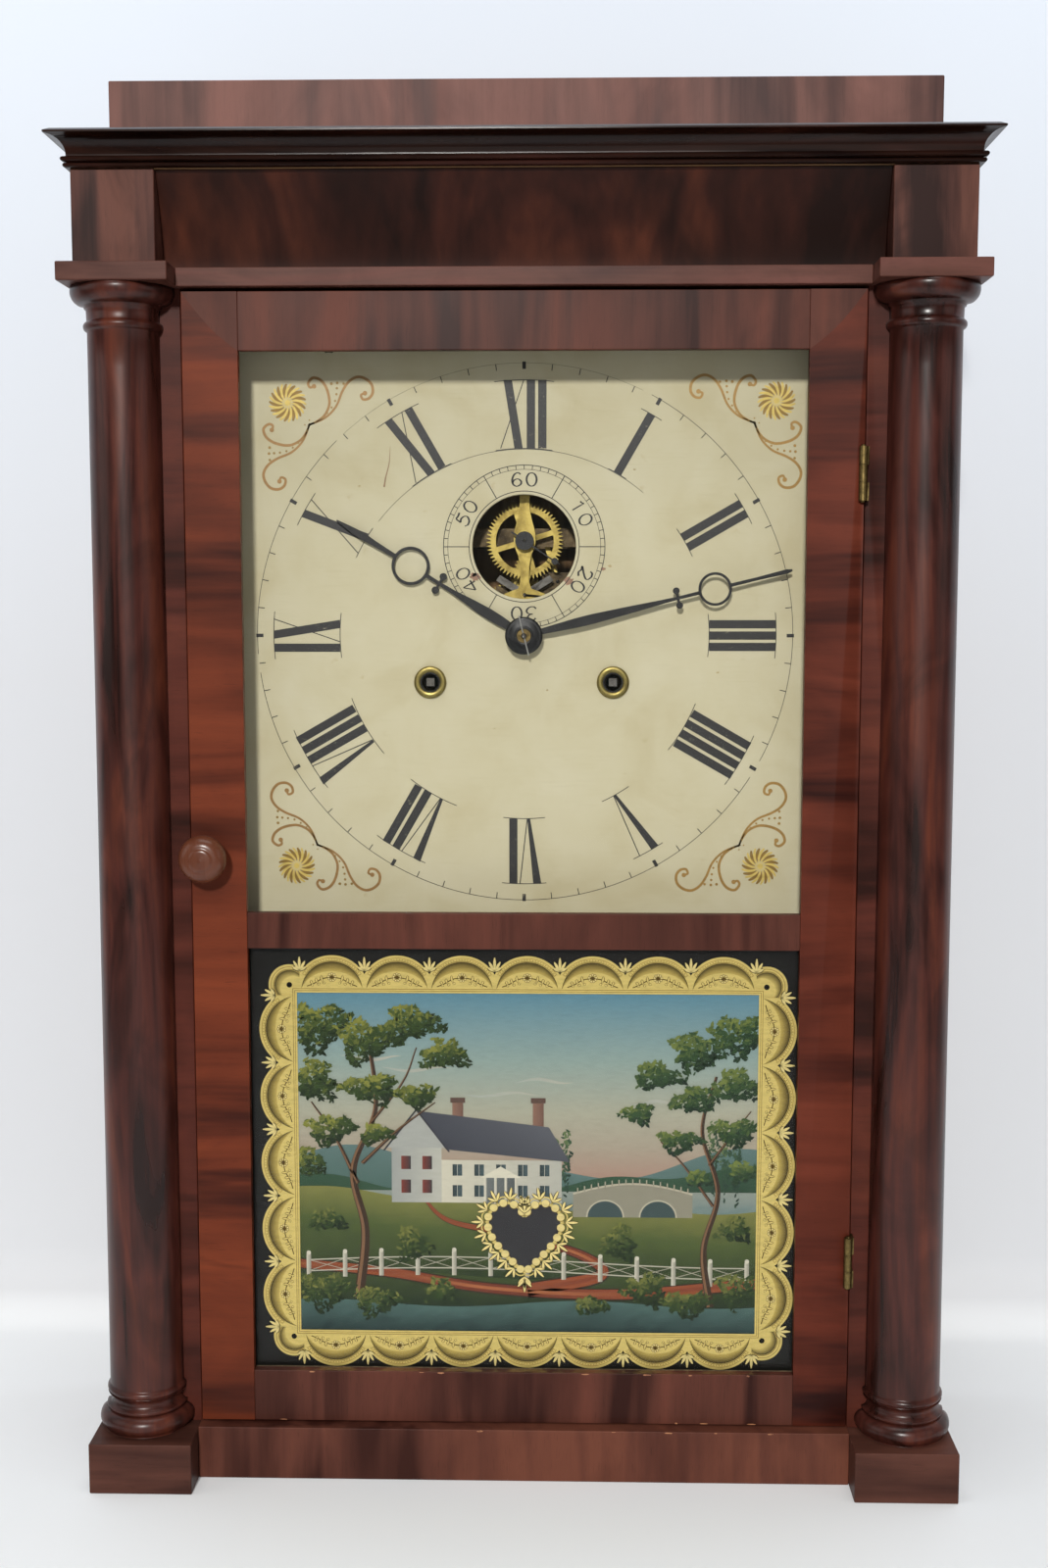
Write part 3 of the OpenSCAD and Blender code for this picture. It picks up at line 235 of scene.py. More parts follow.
@dataclass(frozen=True)
class Corner:
    """The curved joint where the top rail's veneer runs over the end of a door stile.

    Attributes:
        inner_x: how far its inner end lies from the clock's middle.
        inner_z: the height of its inner end.
        outer_x: how far its outer end lies from the clock's middle.
        outer_z: the height of its outer end.
        bow: how far the joint bends away from a straight line.
        dark: the darkest wood above it.
        base: the usual wood above it.
        light: the lightest wood above it.
    """

    inner_x: float
    inner_z: float
    outer_x: float
    outer_z: float
    bow: float
    dark: str
    base: str
    light: str

    def above(self, g: Graph, source: Output) -> Output:
        """One where a point lies above the joint, and zero below it.

        The joint is the straight line from the inner to the outer corner, bent by half a sine wave.
        """
        x, _, z = g.add("SeparateXYZ", {0: source}).node.outputs
        beyond = g.add("Math", {0: g.add("Math", {0: x}, operation="ABSOLUTE"), 1: self.inner_x * MM},
                       operation="SUBTRACT")
        share = g.add("Math", {0: beyond, 1: (self.outer_x - self.inner_x) * MM}, operation="DIVIDE")
        half_turn = g.add("Math", {0: share, 1: np.pi}, operation="MULTIPLY")
        bend = g.add("Math", {0: g.add("Math", {0: half_turn}, operation="SINE"), 1: -self.bow * MM},
                     operation="MULTIPLY")
        line = g.add("Math", {0: share, 1: (self.outer_z - self.inner_z) * MM, 2: bend},
                     operation="MULTIPLY_ADD")
        height = g.add("Math", {0: z, 1: self.inner_z * MM}, operation="SUBTRACT")
        return g.add("Math", {0: height, 1: line}, operation="GREATER_THAN")


@dataclass(frozen=True)
class Veneer(Finish):
    """Mahogany veneer, sawn thick, glued over pine, scraped and finished with shellac that has aged.

    The eye sees broad dark and light bands, finer streaks along them and open pores as short dark flecks.
    A cloudy figure and sharper dark bars lie over them. The shellac has worn to a low shine, a little duller
    on the light bands, and its reflections break up over streaks and pores.

    Attributes:
        dark: the darkest wood.
        base: the usual wood.
        light: the lightest wood.
        grain: which way the grain runs.
        band_mm: width of a band. Bands are 8 times as long, and streaks a ninth as wide and 3 times as long.
        contrast: how soon the wood goes from dark to light.
        figure: how much the cloudy figure darkens it.
        bars: how much the dark bars darken it.
        shift: how far along the pattern this board was cut.
        rough: its roughness.
        gloss: the strength of its reflections.
        corner: the curved joint of a door stile, if it has one.
        pore_mm: width and length of a pore.
    """

    dark: str
    base: str
    light: str
    grain: Grain = Grain.UPRIGHT
    band_mm: float = 26.0
    contrast: float = 1.0
    figure: float = 0.5
    bars: float = 0.0
    shift: float = 0.0
    rough: float = 0.4
    gloss: float = 0.12
    corner: Optional[Corner] = None
    pore_mm: tuple[float, float] = (0.416667, 9.0909)

    def lay(self, g: Graph) -> None:
        """Mix the wood from its patterns, and roughen it."""
        source = g.add("TexCoord", out="Object")
        if self.corner is not None:
            above = self.corner.above(g, source)
            x, y, z = g.add("SeparateXYZ", {0: source}).node.outputs
            crossed = g.add("CombineXYZ", {0: z, 1: y, 2: x})
            source = g.add("Mix", {0: above, 4: source, 5: crossed}, 1, data_type="VECTOR")

        def along(wide: float, long: float, detail: float, distortion: float = 0.0,
                  offset: float = 0.0) -> Output:
            """A pattern so wide and so long along the grain, in millimetres."""
            return g.clouds(self.grain.sizes(wide, long), detail, distortion=distortion, source=source,
                            cut=self.shift + offset)

        width = self.band_mm
        band = along(width, width * 8, 3.0, 0.9)
        streak = along(width / 9, width * 3, 3.0, 0.3)
        pore = along(*self.pore_mm, 1.5)
        cloud = along(width * 2, width / 0.3, 4.0, 1.5, 2.9)
        bar = along(width * 1.25, width * 10, 4.0, 1.1, 5.1)
        tone = g.add("Mix", {0: 0.15, 2: band, 3: streak})
        spread = 0.15 / self.contrast
        stops = (0.5 - spread, 0.5, 0.5 + spread)
        wood = g.add("ValToRGB", {0: tone}, stops=list(zip(stops, (self.dark, self.base, self.light))))
        if self.corner is not None:
            tones = (self.corner.dark, self.corner.base, self.corner.light)
            rail = g.add("ValToRGB", {0: tone}, stops=list(zip(stops, tones)))
            wood = g.add("Mix", {0: above, 6: wood, 7: rail}, 2, data_type="RGBA")
        wood = g.stain(wood, cloud, 0.56, 0.36, self.figure, self.dark)
        wood = g.stain(wood, bar, 0.60, 0.68, self.bars, self.dark)
        wood = g.stain(wood, pore, 0.60, 0.80, 0.35, "#160907")
        polish = g.add("MapRange", {0: band, 1: 0.3, 2: 0.7, 3: self.rough - 0.05, 4: self.rough + 0.07})
        height = g.add("Mix", {0: 0.4, 2: streak, 3: pore})
        g.set(Base_Color=wood, Roughness=polish, Specular_IOR_Level=self.gloss,
              Normal=g.add("Bump", {"Height": height, "Strength": 0.2, "Distance": 0.12 * MM}))


@dataclass(frozen=True)
class Pine(Finish):
    """Bare eastern white pine, or a turned pulley's maple: planed, never finished, brown with age and dirt.

    The eye sees soft ring bands along the board, fine darker fibres and grey-brown dirt in patches, without
    a shine.

    Attributes:
        light: the wood between two rings.
        dark: the wood of a ring.
        grain: which way the grain runs.
        ring_mm: width and length of a ring band. The fibres are a ninth of both.
        dirt_mm: the size of a patch of dirt.
    """

    light: str = "#a98458"
    dark: str = "#7a5a38"
    grain: Grain = Grain.UPRIGHT
    ring_mm: tuple[float, float] = (21.739, 454.55)
    dirt_mm: float = 142.86

    def lay(self, g: Graph) -> None:
        """Mix the wood from its rings, fibres and dirt."""
        sizes = self.grain.sizes(*self.ring_mm)
        rings = g.clouds(sizes, 4.0, 0.5, 1.1)
        fibres = g.clouds([size / 9 for size in sizes], 2.0)
        dirt = g.clouds([self.dirt_mm] * 3, 4.0, 0.65)
        wood = g.add("ValToRGB", {0: rings}, stops=[(0.35, self.dark), (0.5, self.light), (0.62, "#8f6c46")])
        wood = g.stain(wood, fibres, 0.45, 0.7, 0.35, self.dark)
        wood = g.stain(wood, dirt, 0.45, 0.75, 0.5, "#4b3724")
        g.set(Base_Color=wood, Roughness=0.78,
              Normal=g.add("Bump", {"Height": rings, "Strength": 0.3, "Distance": 0.4 * MM}))


@dataclass(frozen=True)
class Metal(Finish):
    """Rolled brass, drawn steel or cast iron, filed or brushed, and dulled by more than a century of air.

    The eye sees the bare metal's colour, cloudy patches of tarnish that are darker and rougher, and a faint
    brushing that spreads the reflections.

    Attributes:
        bright: the clean metal.
        tarnish: the tarnished metal.
        rough: its roughness.
        spread: how much of it the tarnish takes.
        cloud_mm: the size of a patch of tarnish.
        metallic: how much it reflects as metal.
        brush_mm: length and width of a brush mark.
    """

    bright: str
    tarnish: str
    rough: float
    spread: float = 0.5
    cloud_mm: float = 9.0
    metallic: float = 1.0
    brush_mm: tuple[float, float] = (2.5, 0.416667)

    def lay(self, g: Graph) -> None:
        """Mix clean and tarnished metal, and brush it."""
        cloud = g.clouds([self.cloud_mm] * 3, 5.0, 0.65, 0.4)
        brushing = g.clouds(Grain.ACROSS.sizes(self.brush_mm[1], self.brush_mm[0]), 2.0)
        dull = g.add("MapRange", {0: cloud, 1: 0.3, 2: 0.7, 3: self.rough - 0.07, 4: self.rough + 0.16})
        height = g.add("Math", {0: brushing, 1: 0.3, 2: cloud}, operation="MULTIPLY_ADD")
        g.set(Base_Color=g.stain(linear(self.bright), cloud, 0.4, 0.66, self.spread, self.tarnish),
              Roughness=dull, Metallic=self.metallic,
              Normal=g.add("Bump", {"Height": height, "Strength": 0.18, "Distance": 0.08 * MM}))


@dataclass(frozen=True)
class DialPaint(Finish):
    """Oil paint in cream, brushed in coats over a gessoed wooden dial, and yellowed.

    The eye sees a matt, mottled cream with small brown age spots and the fine level marks of the last
    brushing.

    Attributes:
        cream: the usual paint.
        worn: the paint where it has yellowed.
        fresh: the paint where it hasn't.
        mottle_mm: the size of a yellowed patch.
        spot_mm: the size of an age spot.
        brush_mm: length and width of a brush mark.
    """

    cream: str = "#cfc7a5"
    worn: str = "#c7bd98"
    fresh: str = "#d4cdae"
    mottle_mm: float = 45.4545
    spot_mm: float = 10.5263
    brush_mm: tuple[float, float] = (16.6667, 0.66667)

    def lay(self, g: Graph) -> None:
        """Mix the paint from its patches, spots and brush marks."""
        mottle = g.clouds([self.mottle_mm] * 3, 5.0, 0.6, 0.5)
        spots = g.clouds([self.spot_mm] * 3, 3.0, 0.6)
        marks = g.clouds(Grain.UPRIGHT.sizes(*self.brush_mm), 2.0)
        paint = g.add("ValToRGB", {0: mottle},
                      stops=[(0.30, self.worn), (0.5, self.cream), (0.72, self.fresh)])
        paint = g.stain(paint, spots, 0.68, 0.8, 0.4, "#ab935f")
        paint = g.stain(paint, marks, 0.55, 0.8, 0.2, "#b5ab86")
        g.set(Base_Color=paint, Roughness=0.62, Specular_IOR_Level=0.3,
              Normal=g.add("Bump", {"Height": marks, "Strength": 0.04, "Distance": 0.03 * MM}))


@dataclass(frozen=True)
class WornPaint(Finish):
    """A thin hand-brushed coat, or a broken surface, rubbed through in streaks to what lies under it.

    The eye sees an even colour with small sharp flecks of the colour below.

    Attributes:
        paint: the colour on top.
        under: the colour that shows through.
        worn: the pattern's value where the wear begins; less is more worn.
        fleck_mm: length and width of a fleck.
    """

    paint: str = "#1d1c1b"
    under: str = "#a39c83"
    worn: float = 0.62
    fleck_mm: tuple[float, float] = (3.84615, 1.6129)

    def lay(self, g: Graph) -> None:
        """Lay the colour below through the one on top."""
        scratch = g.clouds(Grain.UPRIGHT.sizes(*self.fleck_mm), 4.0, 0.7, 0.8)
        g.set(Base_Color=g.stain(linear(self.paint), scratch, self.worn, self.worn + 0.1, 1.0, self.under),
              Roughness=0.5)


@dataclass(frozen=True)
class BrushPaint(Finish):
    """Oil colours or bronze powder laid by hand with a brush, with the colour stored on the mesh.

    The eye sees each colour broken by faint darker strokes. Bronze powder shines a little as metal, and paint
    behind glass looks wet.

    Attributes:
        rough: its roughness.
        metallic: how much it reflects as metal.
        strength: how dark the strokes are.
        stroke_mm: length and width of a stroke.
    """

    rough: float = 0.42
    metallic: float = 0.0
    strength: float = 0.12
    stroke_mm: tuple[float, float] = (7.142857, 1.923077)

    def lay(self, g: Graph) -> None:
        """Darken the stored colour along the strokes."""
        colour = g.add("Attribute", out="Color", attribute_name="paint")
        strokes = g.clouds(Grain.UPRIGHT.sizes(*self.stroke_mm), 4.0, 0.65, 0.6)
        g.set(Base_Color=g.stain(colour, strokes, 0.42, 0.72, self.strength, "#16120c"),
              Roughness=self.rough, Metallic=self.metallic, Specular_IOR_Level=0.3,
              Normal=g.add("Bump", {"Height": strokes, "Strength": 0.05, "Distance": 0.03 * MM}))


@dataclass(frozen=True)
class Glass(Finish):
    """Thin cylinder glass, blown, slit and flattened, as old clock doors have.

    The eye sees nearly nothing: a faint green-grey tint, and reflections that bend over slow waves.

    Attributes:
        wave_mm: width and height of a wave.
    """

    wave_mm: tuple[float, float] = (111.111, 200.0)

    def lay(self, g: Graph) -> None:
        """Make it nearly clear, with its waves."""
        waves = g.clouds(Grain.UPRIGHT.sizes(*self.wave_mm), 1.0)
        tint = g.add("ValToRGB", {0: waves}, stops=[(0.3, "#10181a"), (0.7, "#1a2220")])
        g.set(Base_Color=tint, Roughness=0.04, Alpha=0.06, Specular_IOR_Level=0.5,
              Normal=g.add("Bump", {"Height": waves, "Strength": 0.05, "Distance": 0.3 * MM}))
        g.material.surface_render_method = "BLENDED"


@dataclass(frozen=True)
class Braid(Finish):
    """Braided flax cord, grey with handling.

    The eye sees two sets of strands that cross on the diagonal, pale on their crowns and dark between them
    as painted light and shade, with dirt over them and no shine.

    Attributes:
        colour: the flax.
        strand_mm: the waves' length across and along the cord, two strands each.
        dirt_mm: the size of a patch of dirt.
    """

    colour: str = "#a89a78"
    strand_mm: tuple[float, float] = (2.63158, 1.923077)
    dirt_mm: float = 16.6667

    def lay(self, g: Graph) -> None:
        """Cross two diagonal waves, and dirty them."""
        source = g.add("TexCoord", out="Object")
        across, along = (1.0 / (size * MM) for size in self.strand_mm)
        waves = []
        for side in (1, -1):
            place = g.add("Mapping", {"Vector": source, "Scale": (side * across, across, along)})
            waves.append(g.add("TexWave", {"Vector": place, "Scale": 1.0}, bands_direction="DIAGONAL"))
        weave = g.add("Math", {0: waves[0], 1: waves[1]}, operation="MULTIPLY")
        dirt = g.clouds([self.dirt_mm] * 3)
        # Dark in the hollows between strands and pale on their crowns: painted shade and light.
        flax = g.add("ValToRGB", {0: weave}, stops=[(0.0, "#5f5238"), (0.35, self.colour), (1.0, "#c4b896")])
        g.set(Base_Color=g.stain(flax, dirt, 0.0, 1.0, 0.4, "#4a3f2c"), Roughness=0.85,
              Normal=g.add("Bump", {"Height": weave, "Strength": 0.5, "Distance": 0.25 * MM}))


DOOR_CORNER = Corner(154.5, 636.4, 185.0, 668.0, 3.0, "#2e1510", "#4f2c23", "#5f352a")

# Flame veneer on the crest, frieze, rails and base, its grain upright across each board: tall dark flames.
# The crest faces the light and has faded, and its lighter, greyer colour is partly a painted sheen;
# the cove lies in the cornice's shade and has kept its dark shellac.
CREST_VENEER = Veneer("mahogany_crest", "#3b211e", "#66443d", "#7a534b", band_mm=44, contrast=1.3,
                      figure=0.45, rough=0.5, gloss=0.2)
COVE_VENEER = Veneer("mahogany_cove", "#1c0e0a", "#351a13", "#4f281b", band_mm=64, contrast=1.2, figure=0.7,
                     shift=3.1)
BLOCK_VENEER = Veneer("mahogany_frieze_block", "#27120e", "#4c2d26", "#623d33", band_mm=30, contrast=1.6,
                      figure=0.75, shift=5.3, rough=0.46)
RAIL_VENEER = Veneer("mahogany_door_rail", "#2e1510", "#4f2c23", "#5f352a", band_mm=44, contrast=1.1,
                     figure=0.45, shift=7.7)
BASE_VENEER = Veneer("mahogany_base", "#331812", "#553026", "#663b2d", band_mm=46, contrast=1.25, figure=0.5,
                     shift=12.0, rough=0.46)
# Straighter veneer with its grain level on stiles and base blocks, with dark bars on the redder door stiles.
STILE_VENEER = Veneer("mahogany_stile", "#29110b", "#50251c", "#5f2e21", Grain.ACROSS, 40, 1.0, 0.4, 0.4, 6.4)
LEFT_VENEER = Veneer("mahogany_door_left", "#2e110a", "#622b18", "#74351d", Grain.ACROSS, 44, 0.9, 0.3, 0.85,
                     4.4, 0.42, corner=DOOR_CORNER)
RIGHT_VENEER = Veneer("mahogany_door_right", "#240b07", "#532316", "#662e1e", Grain.ACROSS, 40, 1.0, 0.35,
                      0.9, 9.1, 0.42, corner=DOOR_CORNER)
FOOT_VENEER = Veneer("mahogany_base_block", "#38201a", "#513128", "#5d392f", Grain.ACROSS, 34, 0.9, 0.3,
                     shift=10.5, rough=0.46)
# The case's sides, rubbed and a little redder, with plain upright grain.
SIDE_VENEER = Veneer("mahogany_side", "#34150c", "#55291c", "#673425", band_mm=50, contrast=1.0, figure=0.4,
                     shift=14.2)
# Solid mouldings, turnings and knob: fine grain under thicker shellac, darker and shinier than the veneers.
CORNICE_WOOD = Veneer("mahogany_cornice", "#120705", "#221009", "#331710", Grain.ACROSS, 18, 0.9, 0.3,
                      shift=1.7, rough=0.2, gloss=0.2)
ABACUS_WOOD = Veneer("mahogany_abacus", "#3e211b", "#58362d", "#684038", Grain.ACROSS, 18, 0.8, 0.3,
                     shift=8.2)
COLUMN_WOOD = Veneer("mahogany_column", "#1d0b07", "#43201a", "#592b1d", band_mm=20, contrast=1.1,
                     figure=0.45, shift=2.2, rough=0.3, gloss=0.3)
KNOB_WOOD = Veneer("mahogany_knob", "#4d2618", "#5c3322", "#643a28", Grain.UPRIGHT, 20, 0.7, 0.1, shift=1.1,
                   rough=0.26, gloss=0.35)
# Where veneer has chipped off: bare pale wood in its own small flecks.
CHIPPED_WOOD = WornPaint("chipped_wood", "#a06c48", "#6d4029", 0.5)
# Bare pine boards behind and above, and pale maple pulleys.
BACK_PINE = Pine("pine_backboard")
TOP_PINE = Pine("pine_top", "#8c6a45", "#5d432b", Grain.ACROSS)
PULLEY_PINE = Pine("maple_pulley", "#b89766", "#8d6b40", Grain.DEEP)
# Brass: rolled sheet for wheels, which the arbors' turning keeps bright; the plates lie in the shade, and their
# browner brass is a painted shade; cast or stamped grommets, bob and hinges are handled and darkest in their
# hollows.
AGED_BRASS = Metal("aged_brass", "#94864f", "#54482b", 0.38, 0.6)
WHEEL_BRASS = Metal("wheel_brass", "#b39f55", "#77632f", 0.44, 0.6, 7.0, 0.7)
SHADED_PLATE_BRASS = Metal("plate_brass_painted_shade", "#66563a", "#30271b", 0.52, 0.8, 9.0, 0.6)
HINGE_BRASS = Metal("hinge_brass", "#7c6a42", "#3f3420", 0.42, 0.8, 3.0)
# Steel: drawn wire gone grey for arbors and rods, a filed pin, a tempered blue-grey gong; then sand-cast
# iron with rust.
DULL_STEEL = Metal("dull_steel", "#66645f", "#37322e", 0.4, 0.6, 6.0)
PIN_STEEL = Metal("pin_steel", "#b4b3ad", "#7b7973", 0.34, 0.4, 6.0, 0.7)
GONG_STEEL = Metal("gong_steel", "#4f5158", "#2d2622", 0.38, 0.7, 7.0)
CAST_IRON = Metal("cast_iron", "#3a3836", "#53301f", 0.62, 0.55, 12.0)
# Stamped steel hands under black japan, a baked varnish: nearly black with soft, slightly metallic lights.
HAND_BLACK = Metal("black_japanned_steel", "#121212", "#232221", 0.34, 0.5, 6.0, metallic=0.25)
# The dial's cream ground, its hand-painted black, gilt lines in bronze powder, and brown stains.
DIAL_CREAM = DialPaint("dial_cream_paint")
NUMERAL_BLACK = WornPaint("numeral_black_paint", "#232221", "#a39c83", 0.64)
LINE_BLACK = WornPaint("line_black_paint", "#24221f", "#b5ad92", 0.62)
GILT_LINE = BrushPaint("spandrel_gilt", 0.42, 0.15, 0.25)
STAIN = BrushPaint("dial_stain", 0.7, 0.0, 0.3)
# Behind the tablet's glass: bronze powder over size for the border, and thin oil colours for the picture.
TABLET_GILT = BrushPaint("tablet_gilt", 0.34, 0.45, 0.2)
TABLET_PAINT = BrushPaint("tablet_paint", 0.3, 0.0, 0.1)
CLEAR_GLASS = Glass("old_clear_glass")
CORD = Braid("flax_cord")
# Linseed putty gone brown and dirty, matt and broken.
PUTTY = WornPaint("old_putty", "#5b4c38", "#7a684d", 0.5)


# ---------------------------------------------------------------- meshes


SLOTS = {entry["node"]: entry["material_slot"] for entry in frame["record"]["subparts"]}
BODY_OF = {node: body for body, nodes in frame["record"]["behaviour"]["bodies"].items() for node in nodes}
MERGE_M = 2e-6
MERGE_FLAT_DEGREES = 0.3
SHARP_SOLID_DEGREES = 28.0
SHARP_TURNED_DEGREES = 34.0
EASED_DEGREES = 40.0


def stand(name: str, mesh: bpy.types.Mesh, body: str) -> bpy.types.Object:
    """Put a mesh into the scene as a piece.

    Args:
        name: the piece's name.
        mesh: its mesh, in place.
        body: the body that carries it.

    Returns:
        The new object.
    """
    mesh.update()
    piece = bpy.data.objects.new(name, mesh)
    bpy.context.scene.collection.objects.link(piece)
    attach(piece, body)
    LOG.info("made %s: %d points on %s", name, len(mesh.vertices), body)
    return piece


def add_piece(name: str, points: Points, faces: Iterable[Sequence[int]], finish: Finish, body: str, slot: str,
              smooth: bool = False, closed: bool = False,
              colours: Optional[Points] = None) -> bpy.types.Object:
    """Make a new piece from points and faces.

    Args:
        name: the piece's name.
        points: its points in millimetres, one row each.
        faces: the point numbers of each face.
        finish: what it is finished with.
        body: the body that carries it.
        slot: the record's material slot; not used.
        smooth: whether its surface is round.
        closed: whether it is a closed shell, whose doubles are merged and normals turned outwards.
        colours: one linear colour for each point, or nothing.

    Returns:
        The new object.
    """
    mesh = bpy.data.meshes.new(name)
    mesh.from_pydata((np.asarray(points, float) * MM).tolist(), [], [list(map(int, f)) for f in faces])
    if colours is not None:
        layer = mesh.color_attributes.new("paint", "FLOAT_COLOR", "POINT")
        layer.data.foreach_set("color", np.asarray(colours, np.float32).ravel())
    if closed:
        shell = bmesh.new()
        shell.from_mesh(mesh)
        bmesh.ops.remove_doubles(shell, verts=shell.verts, dist=MERGE_M)
        bmesh.ops.recalc_face_normals(shell, faces=shell.faces)
        shell.to_mesh(mesh)
        shell.free()
    mesh.polygons.foreach_set("use_smooth", [smooth] * len(mesh.polygons))
    if smooth:
        mesh.set_sharp_from_angle(angle=np.radians(SHARP_TURNED_DEGREES))
    mesh.materials.append(finish.material())
    return stand(name, mesh, body)


def dress(node: str, finish: Finish) -> None:
    """Give a solid of the frame its finish, and leave its shape as it is."""
    data = frame["nodes"][node].data
    data.materials.clear()
    data.materials.append(finish.material())
    LOG.info("dressed %s", node)


def dress_copy(node: str, finish: Finish, edge_mm: float = 0.0, second: Optional[Finish] = None,
               where: Optional[Mask] = None) -> None:
    """Stand a merged copy for a solid, with smooth round faces and softened edges.

    Args:
        node: the solid's name.
        finish: the finish of the copy.
        edge_mm: how wide each sharp edge is eased, or zero.
        second: another finish for some of its faces.
        where: which face middles, in millimetres, take the second finish.
    """
    mesh = frame["nodes"][node].data.copy()
    mesh.name = node + "_dressed"
    shell = bmesh.new()
    shell.from_mesh(mesh)
    bmesh.ops.remove_doubles(shell, verts=shell.verts, dist=MERGE_M)
    if edge_mm:
        bmesh.ops.dissolve_limit(shell, angle_limit=np.radians(MERGE_FLAT_DEGREES), verts=shell.verts,
                                 edges=shell.edges)
    shell.to_mesh(mesh)
    shell.free()
    mesh.materials.clear()
    mesh.materials.append(finish.material())
    index = np.zeros(len(mesh.polygons), np.int32)
    if second is not None and where is not None:
        mesh.materials.append(second.material())
        middles = np.empty(3 * len(mesh.polygons), np.float32)
        mesh.polygons.foreach_get("center", middles)
        index = where(middles.reshape(-1, 3) / MM).astype(np.int32)
    mesh.polygons.foreach_set("material_index", index)
    mesh.polygons.foreach_set("use_smooth", [True] * len(mesh.polygons))
    mesh.set_sharp_from_angle(angle=np.radians(SHARP_SOLID_DEGREES))
    piece = stand(node + "_dressed", mesh, BODY_OF[node])
    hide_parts(node)
    if edge_mm:
        bevel = piece.modifiers.new("eased_edges", "BEVEL")
        bevel.width = edge_mm * MM
        bevel.segments = 2
        bevel.limit_method = "ANGLE"
        bevel.angle_limit = np.radians(EASED_DEGREES)
        bevel.harden_normals = True


def node_box(node: str) -> tuple[Points, Points]:
    """The lowest and highest corner of a solid, in millimetres."""
    low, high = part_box(node)
    return np.array(low) / MM, np.array(high) / MM


def grid_faces(rows: int, columns: int, wrap: bool = False) -> Points:
    """Quads over a grid of points that are numbered row by row.

    Args:
        rows: how many rows of points.
        columns: how many points in a row.
        wrap: whether the last point of a row joins its first.

    Returns:
        The corners of each quad.
    """
    i, j = np.meshgrid(np.arange(rows - 1), np.arange(columns if wrap else columns - 1), indexing="ij")
    k = (j + 1) % columns
    quads = np.stack([i * columns + j, i * columns + k, (i + 1) * columns + k, (i + 1) * columns + j], -1)
    return quads.reshape(-1, 4)


def turned(profile: Points, centre: Sequence[float], sides: int = 96) -> tuple[Points, Points]:
    """A shape turned round an axis along Y.

    Each profile point (a, r) becomes a circle of radius r in the plane y = centre y - a.

    Args:
        profile: rows of distance towards the viewer and radius.
        centre: the middle of the turning, in millimetres.
        sides: points round each circle.

    Returns:
        Points and faces.
    """
    t = np.linspace(0, TAU, sides, endpoint=False)
    a, r = profile[:, :1], profile[:, 1:]
    grid = np.stack([centre[0] + r * np.cos(t), np.broadcast_to(centre[1] - a, (len(a), sides)),
                     centre[2] + r * np.sin(t)], -1)
    return grid.reshape(-1, 3), grid_faces(len(a), sides, wrap=True)


def smooth_path(knots: Points, steps: int = 8) -> Points:
    """A curve through knots: each stretch is the cubic whose end slopes join the neighbours' middles.

    Args:
        knots: rows of two coordinates.
        steps: points in each stretch.

    Returns:
        The curve's points.
    """
    p = np.vstack([2 * knots[0] - knots[1], knots, 2 * knots[-1] - knots[-2]])
    t = np.linspace(0, 1, steps, endpoint=False)[:, None, None]
    a, b, c, d = p[:-3], p[1:-2], p[2:-1], p[3:]
    curve = 0.5 * (2 * b + (c - a) * t + (2 * a - 5 * b + 4 * c - d) * t ** 2
                   + (3 * b - a - 3 * c + d) * t ** 3)
    return np.vstack([curve.transpose(1, 0, 2).reshape(-1, 2), knots[-1:]])


def ring_points(x: float, z: float, radius: float, start: float, end: float, count: int) -> Points:
    """Points on an arc, with angles in degrees clockwise from the top."""
    t = np.radians(np.linspace(start, end, count))
    return np.stack([x + radius * np.sin(t), z + radius * np.cos(t)], -1)


def box_corners(low: Points, high: Points) -> Points:
    """The corners of an upright rectangle, from the lower left one round to the right."""
    return np.array([low, (high[0], low[1]), high, (low[0], high[1])])


def turn(points: Points, degrees: float) -> Points:
    """Turn points clockwise, as the viewer sees them."""
    c, s = np.cos(np.radians(degrees)), np.sin(np.radians(degrees))
    return points @ np.array([[c, -s], [s, c]])


